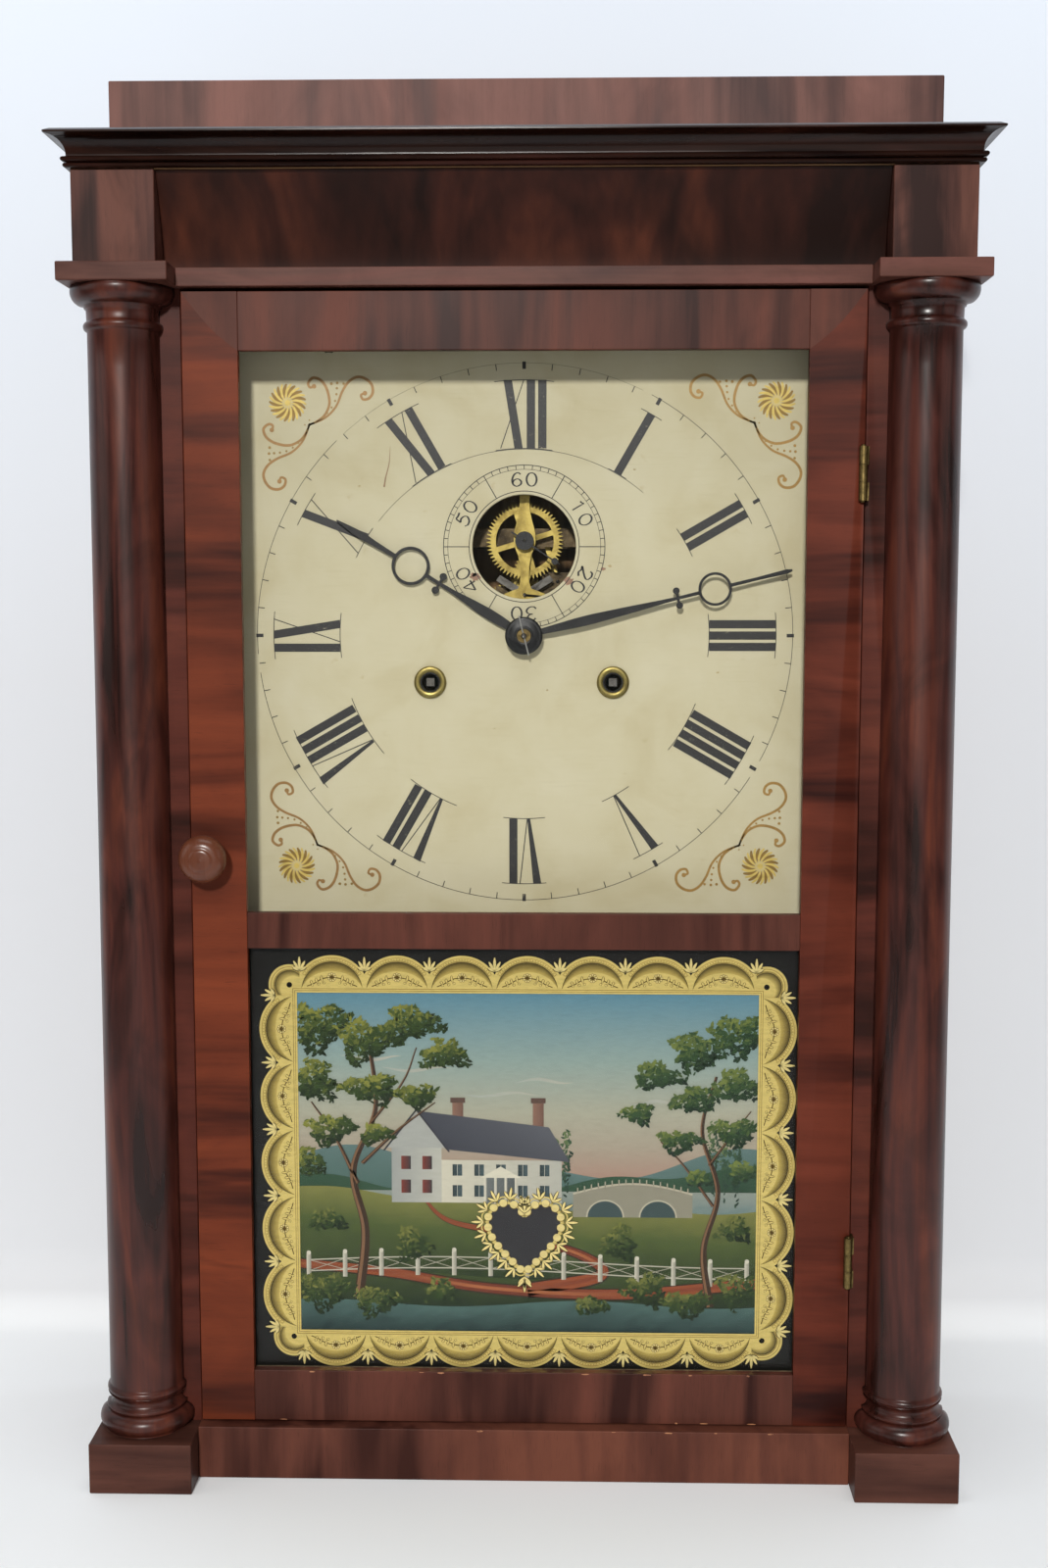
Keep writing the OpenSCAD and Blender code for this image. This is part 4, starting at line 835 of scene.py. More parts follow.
@dataclass
class Canvas:
    """Flat painted shapes in planes that face the viewer, gathered into one mesh.

    Attributes:
        back: the Y of layer zero, in millimetres.
        step: how far each layer lies in front of the one before it.
        points: the points of each shape so far.
        colours: their linear colours.
        faces: the point numbers of each face.
        count: how many points there are.
    """

    back: float
    step: float = 0.02
    points: list[Points] = field(default_factory=list)
    colours: list[Points] = field(default_factory=list)
    faces: list[list[int]] = field(default_factory=list)
    count: int = 0

    def put(self, flat: Points, colour: Colour, faces: Iterable[Sequence[int]],
            layer: Union[float, Points]) -> None:
        """Add points and faces to the mesh.

        Args:
            flat: rows of X and Z.
            colour: a hex code, or a linear colour for each point.
            faces: point numbers, counted from the first of these points.
            layer: the layer, or one for each point.
        """
        n = len(flat)
        deep = np.broadcast_to(self.back - self.step * np.asarray(layer, float), (n,))
        self.points.append(np.stack([flat[:, 0], deep, flat[:, 1]], -1))
        rgba = np.tile(linear(colour), (n, 1)) if isinstance(colour, str) else np.asarray(colour)
        self.colours.append(rgba)
        self.faces.extend([[int(i) + self.count for i in f] for f in faces])
        self.count += n

    def polygon(self, outline: Points, colour: Colour, layer: float) -> None:
        """One flat shape, whose outline may turn either way."""
        x, z = outline[:, 0], outline[:, 1]
        area = np.sum(x * np.roll(z, -1) - z * np.roll(x, -1))
        order = range(len(outline)) if area > 0 else range(len(outline) - 1, -1, -1)
        self.put(outline, colour, [list(order)], layer)

    def disc(self, x: float, z: float, radius: float, colour: Colour, layer: float, sides: int = 24) -> None:
        """A flat disc."""
        self.polygon(ring_points(x, z, radius, 0, 360 - 360 / sides, sides), colour, layer)

    def ribbon(self, path: Points, width: Union[float, Points], colour: Colour, layer: float) -> None:
        """A band along a path: each point moves half the width to both sides of its slope.

        Args:
            path: rows of X and Z.
            width: one width, or one for each point.
            colour: a hex code, or a linear colour for each path point.
            layer: the layer.
        """
        slope = np.gradient(path, axis=0)
        slope /= np.maximum(np.linalg.norm(slope, axis=1, keepdims=True), 1e-9)
        side = np.stack([-slope[:, 1], slope[:, 0]], -1) * (np.broadcast_to(width, (len(path),)) / 2)[:, None]
        n = len(path)
        i = np.arange(n - 1)
        quads = np.stack([i, i + 1, n + i + 1, n + i], -1)
        rgba = colour if isinstance(colour, str) else np.vstack([colour, colour])
        self.put(np.vstack([path - side, path + side]), rgba, quads, layer)

    def pen(self, path: Points, thick: float, thin: float, colour: Colour, layer: float) -> None:
        """A ribbon as a broad pen draws it: thick where it runs up or down, thin where it runs across."""
        slope = np.gradient(path, axis=0)
        upright = np.abs(slope[:, 1]) / np.maximum(np.linalg.norm(slope, axis=1), 1e-9)
        self.ribbon(path, thin + (thick - thin) * upright ** 1.5, colour, layer)

    def dabs(self, middles: Points, sizes: Points, angles: Points, colours: Points, layers: Points,
             sides: int = 6) -> None:
        """Many small leaf-shaped dabs of a brush.

        Each is an ellipse of so many points, twice as long as wide, that comes to a point at one end.
        """
        t = np.linspace(0, TAU, sides, endpoint=False)
        leaf = np.stack([np.cos(t) * (1 + 0.35 * (np.cos(t) > 0.9)), 0.5 * np.sin(t)], -1)
        c, s = np.cos(angles)[:, None], np.sin(angles)[:, None]
        x = (leaf[:, 0] * c - leaf[:, 1] * s) * sizes[:, None] + middles[:, :1]
        z = (leaf[:, 0] * s + leaf[:, 1] * c) * sizes[:, None] + middles[:, 1:]
        flat = np.stack([x, z], -1).reshape(-1, 2)
        faces = np.arange(len(flat)).reshape(-1, sides)
        self.put(flat, np.repeat(colours, sides, axis=0), faces, np.repeat(layers, sides))

    def finish(self, name: str, finish: Finish, body: str, slot: str) -> None:
        """Turn the shapes into one piece."""
        add_piece(name, np.vstack(self.points), self.faces, finish, body, slot,
                  colours=np.vstack(self.colours))


# ---------------------------------------------------------------- case and door


@dataclass
class Case:
    """The carcass, the turned columns and the entablature.

    Attributes:
        edge: how wide the edges of the boards are worn round.
        dressing: each board, with its finish.
    """

    edge: float = 0.7
    dressing: dict[str, Finish] = field(default_factory=lambda: {
        "base_rail": BASE_VENEER, "base_blocks": FOOT_VENEER, "abaci": ABACUS_WOOD, "architrave": ABACUS_WOOD,
        "cove_frieze": COVE_VENEER, "frieze_blocks": BLOCK_VENEER, "crest_board": CREST_VENEER,
        "stile_left": STILE_VENEER, "stile_right": STILE_VENEER, "case_sides": SIDE_VENEER,
        "backboard": BACK_PINE, "bottom_board": TOP_PINE, "top_board": TOP_PINE})

    def build(self) -> None:
        """Dress the boards with eased edges, and the turned and moulded pieces with smooth faces."""
        for node, finish in self.dressing.items():
            dress_copy(node, finish, self.edge)
        dress_copy("cornice", CORNICE_WOOD, 0.35)
        for node in ("column_left", "column_right"):
            dress_copy(node, COLUMN_WOOD)


@dataclass
class Door:
    """The glazed door with its hinges, knob and putty.

    Attributes:
        edge: how wide the edges of the frame are worn round.
        putty: width and depth of the putty behind a glass.
    """

    edge: float = 0.5
    putty: float = 4.0

    def build(self) -> None:
        """Dress the frame, glasses and brass, and lay the putty; the knob's spindle behind it is brass."""
        dress_copy("door_stile_left", LEFT_VENEER, self.edge)
        dress_copy("door_stile_right", RIGHT_VENEER, self.edge)
        for node in ("door_top_rail", "door_mid_rail", "door_bottom_rail"):
            dress_copy(node, RAIL_VENEER, self.edge)
        for node in ("dial_glass", "tablet_glass"):
            dress(node, CLEAR_GLASS)
            self.lay_putty(node)
        for node in ("hinge_case_leaves", "hinge_door_leaves", "hinge_pins"):
            dress_copy(node, HINGE_BRASS)
        self.lay_chips()
        face = node_box("door_stile_left")[0][1] + 0.02
        dress_copy("door_knob", KNOB_WOOD, second=AGED_BRASS, where=lambda p: p[:, 1] > face)

    def lay_chips(self) -> None:
        """Pale chips where the veneer has broken off along three edges, as irregular flat shapes."""
        rng = np.random.default_rng(23)
        corners, inset, proud = 9, 0.25, 0.03
        rail, base = node_box("door_bottom_rail"), node_box("base_rail")
        rows = (("door", rail, rail[1][2], -1, (-121.0, -58.0, -47.0, 36.0, 71.0, 96.0, 129.0)),
                ("door", rail, rail[0][2], 1, (-138.0, 88.0, 104.0, 131.0)),
                ("case", base, base[1][2], -1, (-24.0, 52.0, 83.0, 110.0, 141.0)))
        for k, (body, box, edge, way, places) in enumerate(rows):
            canvas = Canvas(box[0][1] - proud)
            for x in places:
                long, high = 0.8 + 2.0 * rng.random(), 0.2 + 0.35 * rng.random()
                t = np.arange(corners) * TAU / corners
                reach = 0.7 + 0.5 * rng.random(corners)
                rise = inset + high * (1 + reach * np.sin(t))
                canvas.polygon(np.stack([x + long * reach * np.cos(t), edge + way * rise], -1),
                               "#a06c48", 0.5)
            canvas.finish(f"veneer_chips_{k + 1}", CHIPPED_WOOD, body, SLOTS["base_rail"])

    def lay_putty(self, node: str) -> None:
        """A three-cornered fillet of putty round the back of a glass.

        Its section runs along the glass, up the rebate's wall and back; the four corners are mitred.
        """
        low, high = node_box(node)
        gap = 0.02
        section = np.array([[gap, gap], [gap, self.putty], [self.putty, gap]])
        inward = np.array([[1, 1], [-1, 1], [-1, -1], [1, -1]])
        flat = box_corners(low[::2], high[::2])[:, None, :] + inward[:, None, :] * section[None, :, :1]
        deep = np.broadcast_to(high[1] + section[:, 1], (4, 3))
        points = np.stack([flat[..., 0], deep, flat[..., 1]], -1)
        points = np.vstack([points, points[:1]]).reshape(-1, 3)
        add_piece(node + "_putty", points, grid_faces(5, 3, wrap=True), PUTTY, "door", "painted_dial",
                  closed=True)


# ---------------------------------------------------------------- dial


@dataclass
class Dial:
    """The painted dial: numerals, minute track, seconds track, gilt spandrels and stains.

    Attributes:
        centre: X and Z of the hands.
        outer: radius of the numerals' outer ends.
        inner: radius of the numerals' inner ends.
        track: radius of the minute circle.
        bar: width of a numeral's thick stroke.
        seconds: X and Z of the middle of the seconds track.
        seconds_inner: radius of its inner circle.
        seconds_outer: radius of its outer circle.
        seconds_dash: length of a seconds dash, between the outer circle and the one inside it.
        throat: radius of the hole in a grommet.
        proud: how far the paint lies in front of the panel.
        ink: the black of the numerals.
        line_ink: the black of the lines, which are thinner and greyer.
        front: Y of the painted plane, worked out from the panel.
    """

    centre: tuple[float, float] = (0.0, 482.0)
    outer: float = 142.6
    inner: float = 104.8
    track: float = 152.0
    bar: float = 4.7
    seconds: tuple[float, float] = (0.0, 532.0)
    seconds_inner: float = 31.1
    seconds_outer: float = 45.6
    seconds_dash: float = 2.4
    throat: float = 5.0
    proud: float = 0.06
    ink: str = "#1d1c1b"
    line_ink: str = "#2a2825"
    front: float = 0.0

    def build(self) -> None:
        """Dress the panel and grommets, and paint everything that lies on the panel."""
        dress_copy("dial_panel", DIAL_CREAM, 0.25)
        dress_copy("winding_grommets", AGED_BRASS)
        self.round_grommets()
        self.front = node_box("dial_panel")[0][1] - self.proud
        self.paint_numerals()
        self.paint_lines()
        self.paint_spandrels()
        self.paint_stains()

    def round_grommets(self) -> None:
        """Turn the rounded rim of each winding hole's grommet, and its throat as a black ring of painted shade.

        The rim's section is a low arch from the flange's edge to the throat.
        """
        low, high = node_box("winding_grommets")
        outer = (high[2] - low[2]) / 2
        seat, lap = -0.3, 0.1
        t = np.linspace(0, np.pi, 13)
        arch = np.stack([0.15 + 0.75 * np.sin(t), outer - lap - 1.75 * (1 - np.cos(t))], -1)
        inner = arch[-1, 1]
        rim = np.vstack([[(seat, outer - lap)], arch, [(seat, inner)]])
        # The throat ring is black: painted shade where the brass turns down into the dark hole.
        throat = np.array([(seat, inner + lap), (0.12, inner + lap),
                           (0.12, self.throat), (seat, self.throat)])
        for side, x in (("time", high[0] - outer), ("strike", low[0] + outer)):
            centre = (x, low[1], (low[2] + high[2]) / 2)
            for part, profile, finish in (("rim", rim, AGED_BRASS), ("throat", throat, HAND_BLACK)):
                shape = turned(np.vstack([profile, profile[:1]]), centre, 64)
                add_piece(f"{side}_grommet_{part}", *shape, finish, "case", "old_brass",
                          smooth=True, closed=True)

    def glyph(self, canvas: Canvas, letter: str, at: float, hour: int) -> None:
        """Paint one letter of a Roman numeral, with its foot towards the hands.

        Args:
            canvas: where to paint.
            letter: I, V or X.
            at: how far the letter's middle lies clockwise of the numeral's middle.
            hour: the hour, which turns the letter.
        """
        hair = 0.55
        strokes = {"I": [(0.0, 0.0, self.bar)],
                   "V": [(-4.4, 0.6, self.bar), (5.6, 1.4, hair)],
                   "X": [(-2.8, 3.3, self.bar), (6.2, -6.8, hair)]}[letter]
        for top, foot, width in strokes:
            half = width / 2
            narrow = half * (0.35 if letter == "V" and width > hair else 1.0)
            shape = np.array([[at + foot - narrow, self.inner], [at + foot + narrow, self.inner],
                              [at + top + half, self.outer], [at + top - half, self.outer]])
            canvas.polygon(turn(shape, hour * 30) + self.centre, self.ink, 1 if width > hair else 2)

    def paint_numerals(self) -> None:
        """Paint the twelve numerals with their thin end lines."""
        canvas = Canvas(self.front)
        widths = {"I": 6.4, "V": 12.4, "X": 14.0}
        names = ["XII", "I", "II", "III", "IIII", "V", "VI", "VII", "VIII", "IX", "X", "XI"]
        for hour, name in enumerate(names):
            total = sum(widths[c] for c in name)
            at = -total / 2
            for letter in name:
                self.glyph(canvas, letter, at + widths[letter] / 2, hour)
                at += widths[letter]
            for radius, reach in ((self.outer, 3.4), (self.inner, 2.6)):
                half = np.degrees((total / 2 + reach) / radius)
                line = ring_points(*self.centre, radius, hour * 30 - half, hour * 30 + half, 15)
                canvas.ribbon(line, 0.42, self.ink, 3)
        canvas.finish("dial_numerals", NUMERAL_BLACK, "case", "black_hands")

    def dash(self, canvas: Canvas, centre: Sequence[float], start: float, end: float, step: int,
             width: float) -> None:
        """Draw one dash of a track of sixty, from one radius to another."""
        line = np.array([(0.0, start), (0.0, end)])
        canvas.ribbon(turn(line, step * 6) + centre, width, self.line_ink, 2)

    def paint_lines(self) -> None:
        """Paint the minute track, rubbed thin at the upper left, and the seconds track with its numbers."""
        canvas = Canvas(self.front)
        for start, end, width in ((28, 118, 0.32), (122, 262, 0.34), (266, 316, 0.3), (318, 386, 0.14)):
            canvas.ribbon(ring_points(*self.centre, self.track, start, end, 90), width, self.line_ink, 1)
        for minute in range(60):
            reach = (148.6, 152.7, minute, 2.0) if minute % 5 == 0 else (148.4, 151.9, minute, 0.5)
            self.dash(canvas, self.centre, *reach)
        canvas.ribbon(ring_points(*self.centre, self.inner - 0.4, -52, 40, 60), 0.26, self.line_ink, 1)
        dash_foot = self.seconds_outer - self.seconds_dash
        for radius, width in ((self.seconds_inner, 0.45), (self.seconds_outer, 0.45), (dash_foot, 0.25)):
            canvas.ribbon(ring_points(*self.seconds, radius, 0, 360, 140), width, self.line_ink, 1)
        for second in range(60):
            start, width = (self.seconds_inner, 0.5) if second % 10 == 5 else (dash_foot, 0.42)
            self.dash(canvas, self.seconds, start, self.seconds_outer, second, width)
        for place, number in enumerate(("60", "10", "20", "30", "40", "50")):
            self.paint_number(canvas, number, place * 60.0)
        canvas.finish("dial_tracks", LINE_BLACK, "case", "black_hands")

    def paint_number(self, canvas: Canvas, number: str, angle: float) -> None:
        """Write a number of the seconds track in a round copperplate hand.

        Args:
            canvas: where to paint.
            number: its two digits.
            angle: degrees clockwise from the top.
        """
        t = np.linspace(0, TAU, 12)
        digits = {
            "0": [np.stack([0.31 + 0.27 * np.sin(t), 0.5 + 0.49 * np.cos(t)], -1)],
            "1": [[(0.32, 1.0), (0.32, 0.5), (0.32, 0.0)], [(0.32, 1.0), (0.24, 0.88), (0.12, 0.82)]],
            "2": [[(0.08, 0.74), (0.12, 0.93), (0.31, 1.0), (0.52, 0.87), (0.52, 0.66), (0.32, 0.36),
                   (0.05, 0.03), (0.22, 0.09), (0.42, 0.0), (0.60, 0.14)]],
            "3": [[(0.08, 0.84), (0.2, 0.98), (0.42, 0.97), (0.52, 0.78), (0.42, 0.6), (0.24, 0.55)],
                  [(0.24, 0.55), (0.5, 0.49), (0.58, 0.27), (0.42, 0.04), (0.2, 0.0), (0.06, 0.14)]],
            "4": [[(0.45, 1.0), (0.45, 0.5), (0.45, 0.0)], [(0.45, 1.0), (0.24, 0.65), (0.02, 0.29)],
                  [(0.02, 0.29), (0.3, 0.29), (0.62, 0.29)]],
            "5": [[(0.54, 0.98), (0.36, 0.94), (0.16, 0.97)], [(0.16, 0.97), (0.14, 0.76), (0.12, 0.55)],
                  [(0.12, 0.55), (0.3, 0.64), (0.5, 0.54), (0.57, 0.3), (0.42, 0.04), (0.2, 0.0),
                   (0.06, 0.14)]],
            "6": [[(0.52, 0.88), (0.38, 1.0), (0.18, 0.86), (0.07, 0.5), (0.12, 0.15), (0.31, 0.0),
                   (0.52, 0.14), (0.55, 0.36), (0.38, 0.54), (0.17, 0.45), (0.09, 0.28)]],
        }
        height, wide, apart, middle, drop = 7.6, 10.4, 8.4, 0.31, 0.8
        foot = (self.seconds_inner + self.seconds_outer - height) / 2 - drop
        for place, digit in enumerate(number):
            for stroke in digits[digit]:
                path = smooth_path(np.asarray(stroke, float), 5)
                flat = np.stack([(path[:, 0] - middle) * wide + (place - 0.5) * apart,
                                 path[:, 1] * height + foot], -1)
                canvas.pen(turn(flat, angle) + self.seconds, 1.15, 0.5, self.line_ink, 3)

    def paint_spandrels(self) -> None:
        """Paint the gilt corners: a pinwheel rosette, and two scrolls mirrored in its diagonal."""
        short = np.array([(15.0, 9.1), (12.7, 8.5), (11.8, 10.9), (14.5, 13.8), (19.0, 12.3), (22.3, 7.3),
                          (23.6, -0.4), (20.9, -6.7), (16.3, -10.3), (11.4, -12.5)])
        long = np.array([(43.6, 5.2), (41.4, 4.2), (42.6, 1.8), (45.9, 2.4), (48.0, 5.6), (47.3, 10.2),
                         (43.5, 13.4), (39.0, 14.1), (34.4, 11.4), (30.8, 6.0), (27.2, -2.2), (20.8, -8.5),
                         (11.4, -12.5)])
        dots = np.array([(24.8, 10.5), (28.1, 10.9), (31.7, 10.5), (27.9, 8.0), (27.6, 4.7), (26.8, 1.0),
                         (24.8, -2.6), (22.3, -5.8), (19.0, -8.5), (15.4, -10.7), (9.6, -12.2)])
        canvas = Canvas(self.front)
        corners = ((-133.0, 612.3, 1, 1), (141.0, 612.8, -1, 1),
                   (-131.3, 349.5, 1, -1), (135.4, 350.0, -1, -1))
        for x, z, right, up in corners:
            flip = np.array([right, up], float)
            line_tone, dot_tone = ("#a98548", "#a98748") if right < 0 else ("#a27d4c", "#9d8048")
            for diagonal in (False, True):
                for line in (short, long):
                    path = smooth_path(line, 7)
                    path = (-path[:, ::-1] if diagonal else path) * flip + (x, z)
                    grow = np.sin(np.linspace(0.12, 0.97, len(path)) * np.pi) * 0.45 + 0.65
                    canvas.ribbon(path, 1.45 * grow, line_tone, 1)
                    canvas.disc(*path[0], 1.3, line_tone, 1.5, 14)
                for k, dot in enumerate(dots):
                    spot = (-dot[::-1] if diagonal else dot) * flip + (x, z)
                    canvas.disc(*spot, 0.85 - 0.04 * k, dot_tone, 2, 10)
            self.paint_rosette(canvas, x, z, right * up)
        canvas.finish("dial_spandrels", GILT_LINE, "case", "old_brass")

    def paint_rosette(self, canvas: Canvas, x: float, z: float, hand: int) -> None:
        """Paint a pinwheel of thirteen bent gold petals with a brown petal between each two.

        Each petal runs out from the middle while its angle grows evenly, to 40 degrees at its tip.

        Args:
            canvas: where to paint.
            x: its middle.
            z: its middle.
            hand: 1 or -1, the way the petals bend.
        """
        petals, radius = 13, 10.6
        s = np.linspace(0, 1, 10)
        swell = np.sin(0.25 + s * 2.45) ** 1.3 * (0.35 + 0.65 * s)
        rows = (("#dcc26a", 0.0, 1.0, radius, 1.8, 2), ("#94763a", 0.5, 3.0, 10.4, 2.1, 3))
        for petal in range(petals):
            for tone, shift, start, end, wide, layer in rows:
                reach = start + (end - start) * s
                bend = np.radians(hand * 40 * reach / radius + (petal + shift) * 360 / petals)
                arm = np.stack([reach * np.sin(bend), reach * np.cos(bend)], -1)
                canvas.ribbon(arm + (x, z), 0.2 + wide * swell, tone, layer)
        canvas.disc(x, z, 1.6, "#dcc26a", 3, 14)

    def paint_stains(self) -> None:
        """Paint the small brown stains and rubbed places of an old dial."""
        canvas = Canvas(self.front)
        rng = np.random.default_rng(5)
        dark, brown, pale = "#4f4936", "#a3806a", "#b9a77c"
        spots = ((-108.8, 641.2, 3.1, dark), (-27.5, 514.8, 3.4, brown), (25.5, 512.6, 3.6, brown),
                 (-28.6, 516.2, 2.0, brown), (44.6, 519.5, 1.6, brown), (48.4, 521.2, 1.1, pale),
                 (13.2, 451.0, 0.8, pale), (-17.0, 429.0, 0.7, pale), (62.0, 575.0, 0.8, pale),
                 (110.0, 461.0, 1.0, pale), (-93.0, 566.0, 0.8, pale))
        corners = 14
        t = np.arange(corners) * TAU / corners
        for x, z, size, tone in spots:
            radius = size * (0.55 + 0.6 * rng.random(corners))
            canvas.polygon(np.stack([x + radius * np.sin(t), z + 0.7 * radius * np.cos(t)], -1), tone, 0.5)
        scratch = smooth_path(np.array([(-75.4, 588.0), (-76.0, 579.0), (-78.0, 571.0), (-79.0, 565.5)]))
        canvas.ribbon(scratch, np.linspace(0.2, 1.0, len(scratch)), "#a4876a", 0.5)
        canvas.finish("dial_stains", STAIN, "case", "painted_dial")


@dataclass
class Hands:
    """The three hands, their turned boss and the washer and pin that hold them.

    Attributes:
        centre: X and Z of the hands.
        boss: radius of the turned boss.
        bush: radius of the hole that its bush fills.
        washer: radius of the washer, beyond which its node is the pin.
    """

    centre: tuple[float, float] = (0.0, 482.0)
    boss: float = 10.6
    bush: float = 4.0
    washer: float = 4.2

    def build(self) -> None:
        """Dress the hands, washer and pin, and turn the boss with its rim, hollow and neck."""
        for node in ("hour_hand", "minute_hand", "seconds_hand"):
            dress_copy(node, HAND_BLACK, 0.16)
        dress_copy("hand_washer", HINGE_BRASS, second=PIN_STEEL,
                   where=lambda p: np.linalg.norm(p[:, ::2] - self.centre, axis=1) > self.washer)
        front = node_box("minute_hand")[0][1]
        profile = np.array([(0.0, self.bush), (0.0, self.boss - 0.1), (0.45, self.boss),
                            (0.95, self.boss - 0.4), (1.25, self.boss - 1.3), (1.15, self.boss - 1.8),
                            (1.3, self.boss - 2.2), (1.75, self.boss - 4.2), (1.85, self.bush + 1.4),
                            (1.6, self.bush + 1.0), (1.7, self.bush + 0.5), (1.5, self.bush),
                            (0.0, self.bush)])
        shape = turned(profile, (self.centre[0], front, self.centre[1]))
        add_piece("minute_hand_boss", *shape, HAND_BLACK, "centre", "black_hands", smooth=True, closed=True)


# ---------------------------------------------------------------- tablet


Petals = tuple[tuple[float, float], ...]
FIVE_PETALS: Petals = ((-60, 4.4), (60, 4.4), (-30, 6.4), (30, 6.4), (0, 8.0))
THREE_PETALS: Petals = ((-42, 5.8), (42, 5.8), (0, 7.6))
GILT = "#e2cb78"
GILT_LIGHT = "#f0dc92"
GILT_LINE_TONE = "#8a6d2c"
GILT_SHADE = "#3b2f13"


@dataclass
class Tablet:
    """The painting on the back of the lower glass: black ground, gilt border, landscape and heart wreath.

    Attributes:
        low: X and Z of the picture's lower left corner.
        high: X and Z of its upper right corner.
        heart: X and Z of the middle of the heart.
        beads: how many beads the heart's wreath has.
        behind: how far the ground lies behind the glass.
        gilding: how far the gilt border lies in front of the ground.
        back: Y of the ground, worked out from the glass.
        rng: the random draws of clouds, shading and leaves.
    """

    low: tuple[float, float] = (-128.6, 82.0)
    high: tuple[float, float] = (133.4, 281.2)
    heart: tuple[float, float] = (0.9, 138.7)
    beads: int = 22
    behind: float = 0.75
    gilding: float = 0.66
    back: float = 0.0
    rng: np.random.Generator = field(default_factory=lambda: np.random.default_rng(11))

    def build(self) -> None:
        """Paint the black ground, then picture, border and heart in front of it, each in thin layers."""
        low, high = node_box("tablet_glass")
        self.back = high[1] + self.behind
        margin = 0.3
        ground = Canvas(self.back)
        ground.polygon(box_corners(low[::2] + margin, high[::2] - margin), "#14120f", 0)
        ground.finish("tablet_ground", TABLET_PAINT, "door", "painted_glass")
        self.paint_landscape()
        self.paint_border()
        self.paint_heart()

    def spot(self, s: Shares, t: Shares) -> Points:
        """Turn shares of the picture's width and height into X and Z."""
        s, t = np.broadcast_arrays(np.asarray(s, float), np.asarray(t, float))
        return np.stack([self.low[0] + (self.high[0] - self.low[0]) * s,
                         self.low[1] + (self.high[1] - self.low[1]) * t], -1).reshape(-1, 2)

    def sheet(self, canvas: Canvas, top: Points, bottom: Points, upper: str, lower: str, layer: float,
              rows: int = 6, mottle: float = 0.0) -> None:
        """Fill between two lines across the picture, shading from one colour to another.

        Args:
            canvas: where to paint.
            top: heights of the upper line, as shares, at even steps across.
            bottom: heights of the lower line.
            upper: the colour at the upper line.
            lower: the colour at the lower line.
            layer: the layer.
            rows: steps between the lines.
            mottle: how much the shading varies.
        """
        n = len(top)
        v = np.linspace(0, 1, rows)[:, None]
        t = bottom + (top - bottom) * v
        share = np.clip(v + mottle * self.rng.standard_normal((rows, n)), 0, 1)
        colours = blend_codes(lower, upper, share.ravel())
        canvas.put(self.spot(np.linspace(0, 1, n), t), colours, grid_faces(rows, n), layer)

    def paint_landscape(self) -> None:
        """Paint sky, hills, lake, lawn, path, a farmhouse, a bridge, a fence and trees."""
        c = Canvas(self.back, 0.01)
        x = np.linspace(0, 1, 49)
        flat = np.ones_like(x)
        bands = ((1.0, 0.80, "#5a8798", "#8ea29a"), (0.80, 0.65, "#8ea29a", "#a9a893"),
                 (0.65, 0.55, "#a9a893", "#a89d89"), (0.55, 0.40, "#a89d89", "#a8796a"))
        for high, low, upper, lower in bands:
            self.sheet(c, flat * high, flat * low, upper, lower, 3, 7, 0.012)
        for k in range(6):
            s, t, wide = (self.rng.random() * 0.8, 0.68 + 0.2 * self.rng.random(),
                          0.10 + 0.12 * self.rng.random())
            u = np.linspace(0, 1, 14)
            cloud = self.spot(s + wide * u, t + 0.006 * np.sin(u * 7 + k))
            c.ribbon(cloud, 1.8 * np.sin(u * np.pi) + 0.1, blend_codes("#a3aaa0", "#b1af9f", u), 6 + 0.3 * k)
        far = 0.50 + 0.035 * np.sin(x * 7.0 + 0.6) + 0.02 * np.sin(x * 15.0)
        near = 0.455 + 0.03 * np.sin(x * 5.0 + 2.8) + 0.012 * np.sin(x * 21.0)
        self.sheet(c, far, flat * 0.38, "#5d7672", "#405c52", 10, 5, 0.03)
        self.sheet(c, near, flat * 0.34, "#33503a", "#1f3524", 12, 5, 0.05)
        self.sheet(c, flat * 0.42, flat * 0.33, "#8d958a", "#5f7a7a", 14, 7, 0.08)
        lawn = 0.375 + 0.05 * np.clip(0.55 - x, -0.12, 1) * 2 + 0.008 * np.sin(x * 19)
        self.sheet(c, lawn, lawn - 0.09, "#7a7a40", "#4c5a2c", 16, 6, 0.05)
        self.sheet(c, lawn - 0.09, flat * 0.14, "#4c5a2c", "#202f1b", 16, 9, 0.06)
        self.sheet(c, flat * 0.17 + 0.012 * np.sin(x * 9), flat * 0.07, "#3c4a24", "#1c2b19", 18, 6, 0.06)
        self.sheet(c, flat * 0.085 + 0.01 * np.sin(x * 11 + 1), flat * 0.0, "#4b6660", "#1f3230", 20, 6, 0.08)
        self.paint_paths(c)
        self.paint_bridge(c)
        size = np.subtract(self.high, self.low)
        enlarged, corner = 1.4, self.low - (0.062, 0.154) * size
        replace(self, low=tuple(corner), high=tuple(corner + enlarged * size)).paint_farmhouse(c)
        self.paint_fence(c)
        self.paint_trees(c)
        c.finish("tablet_landscape", TABLET_PAINT, "door", "painted_glass")

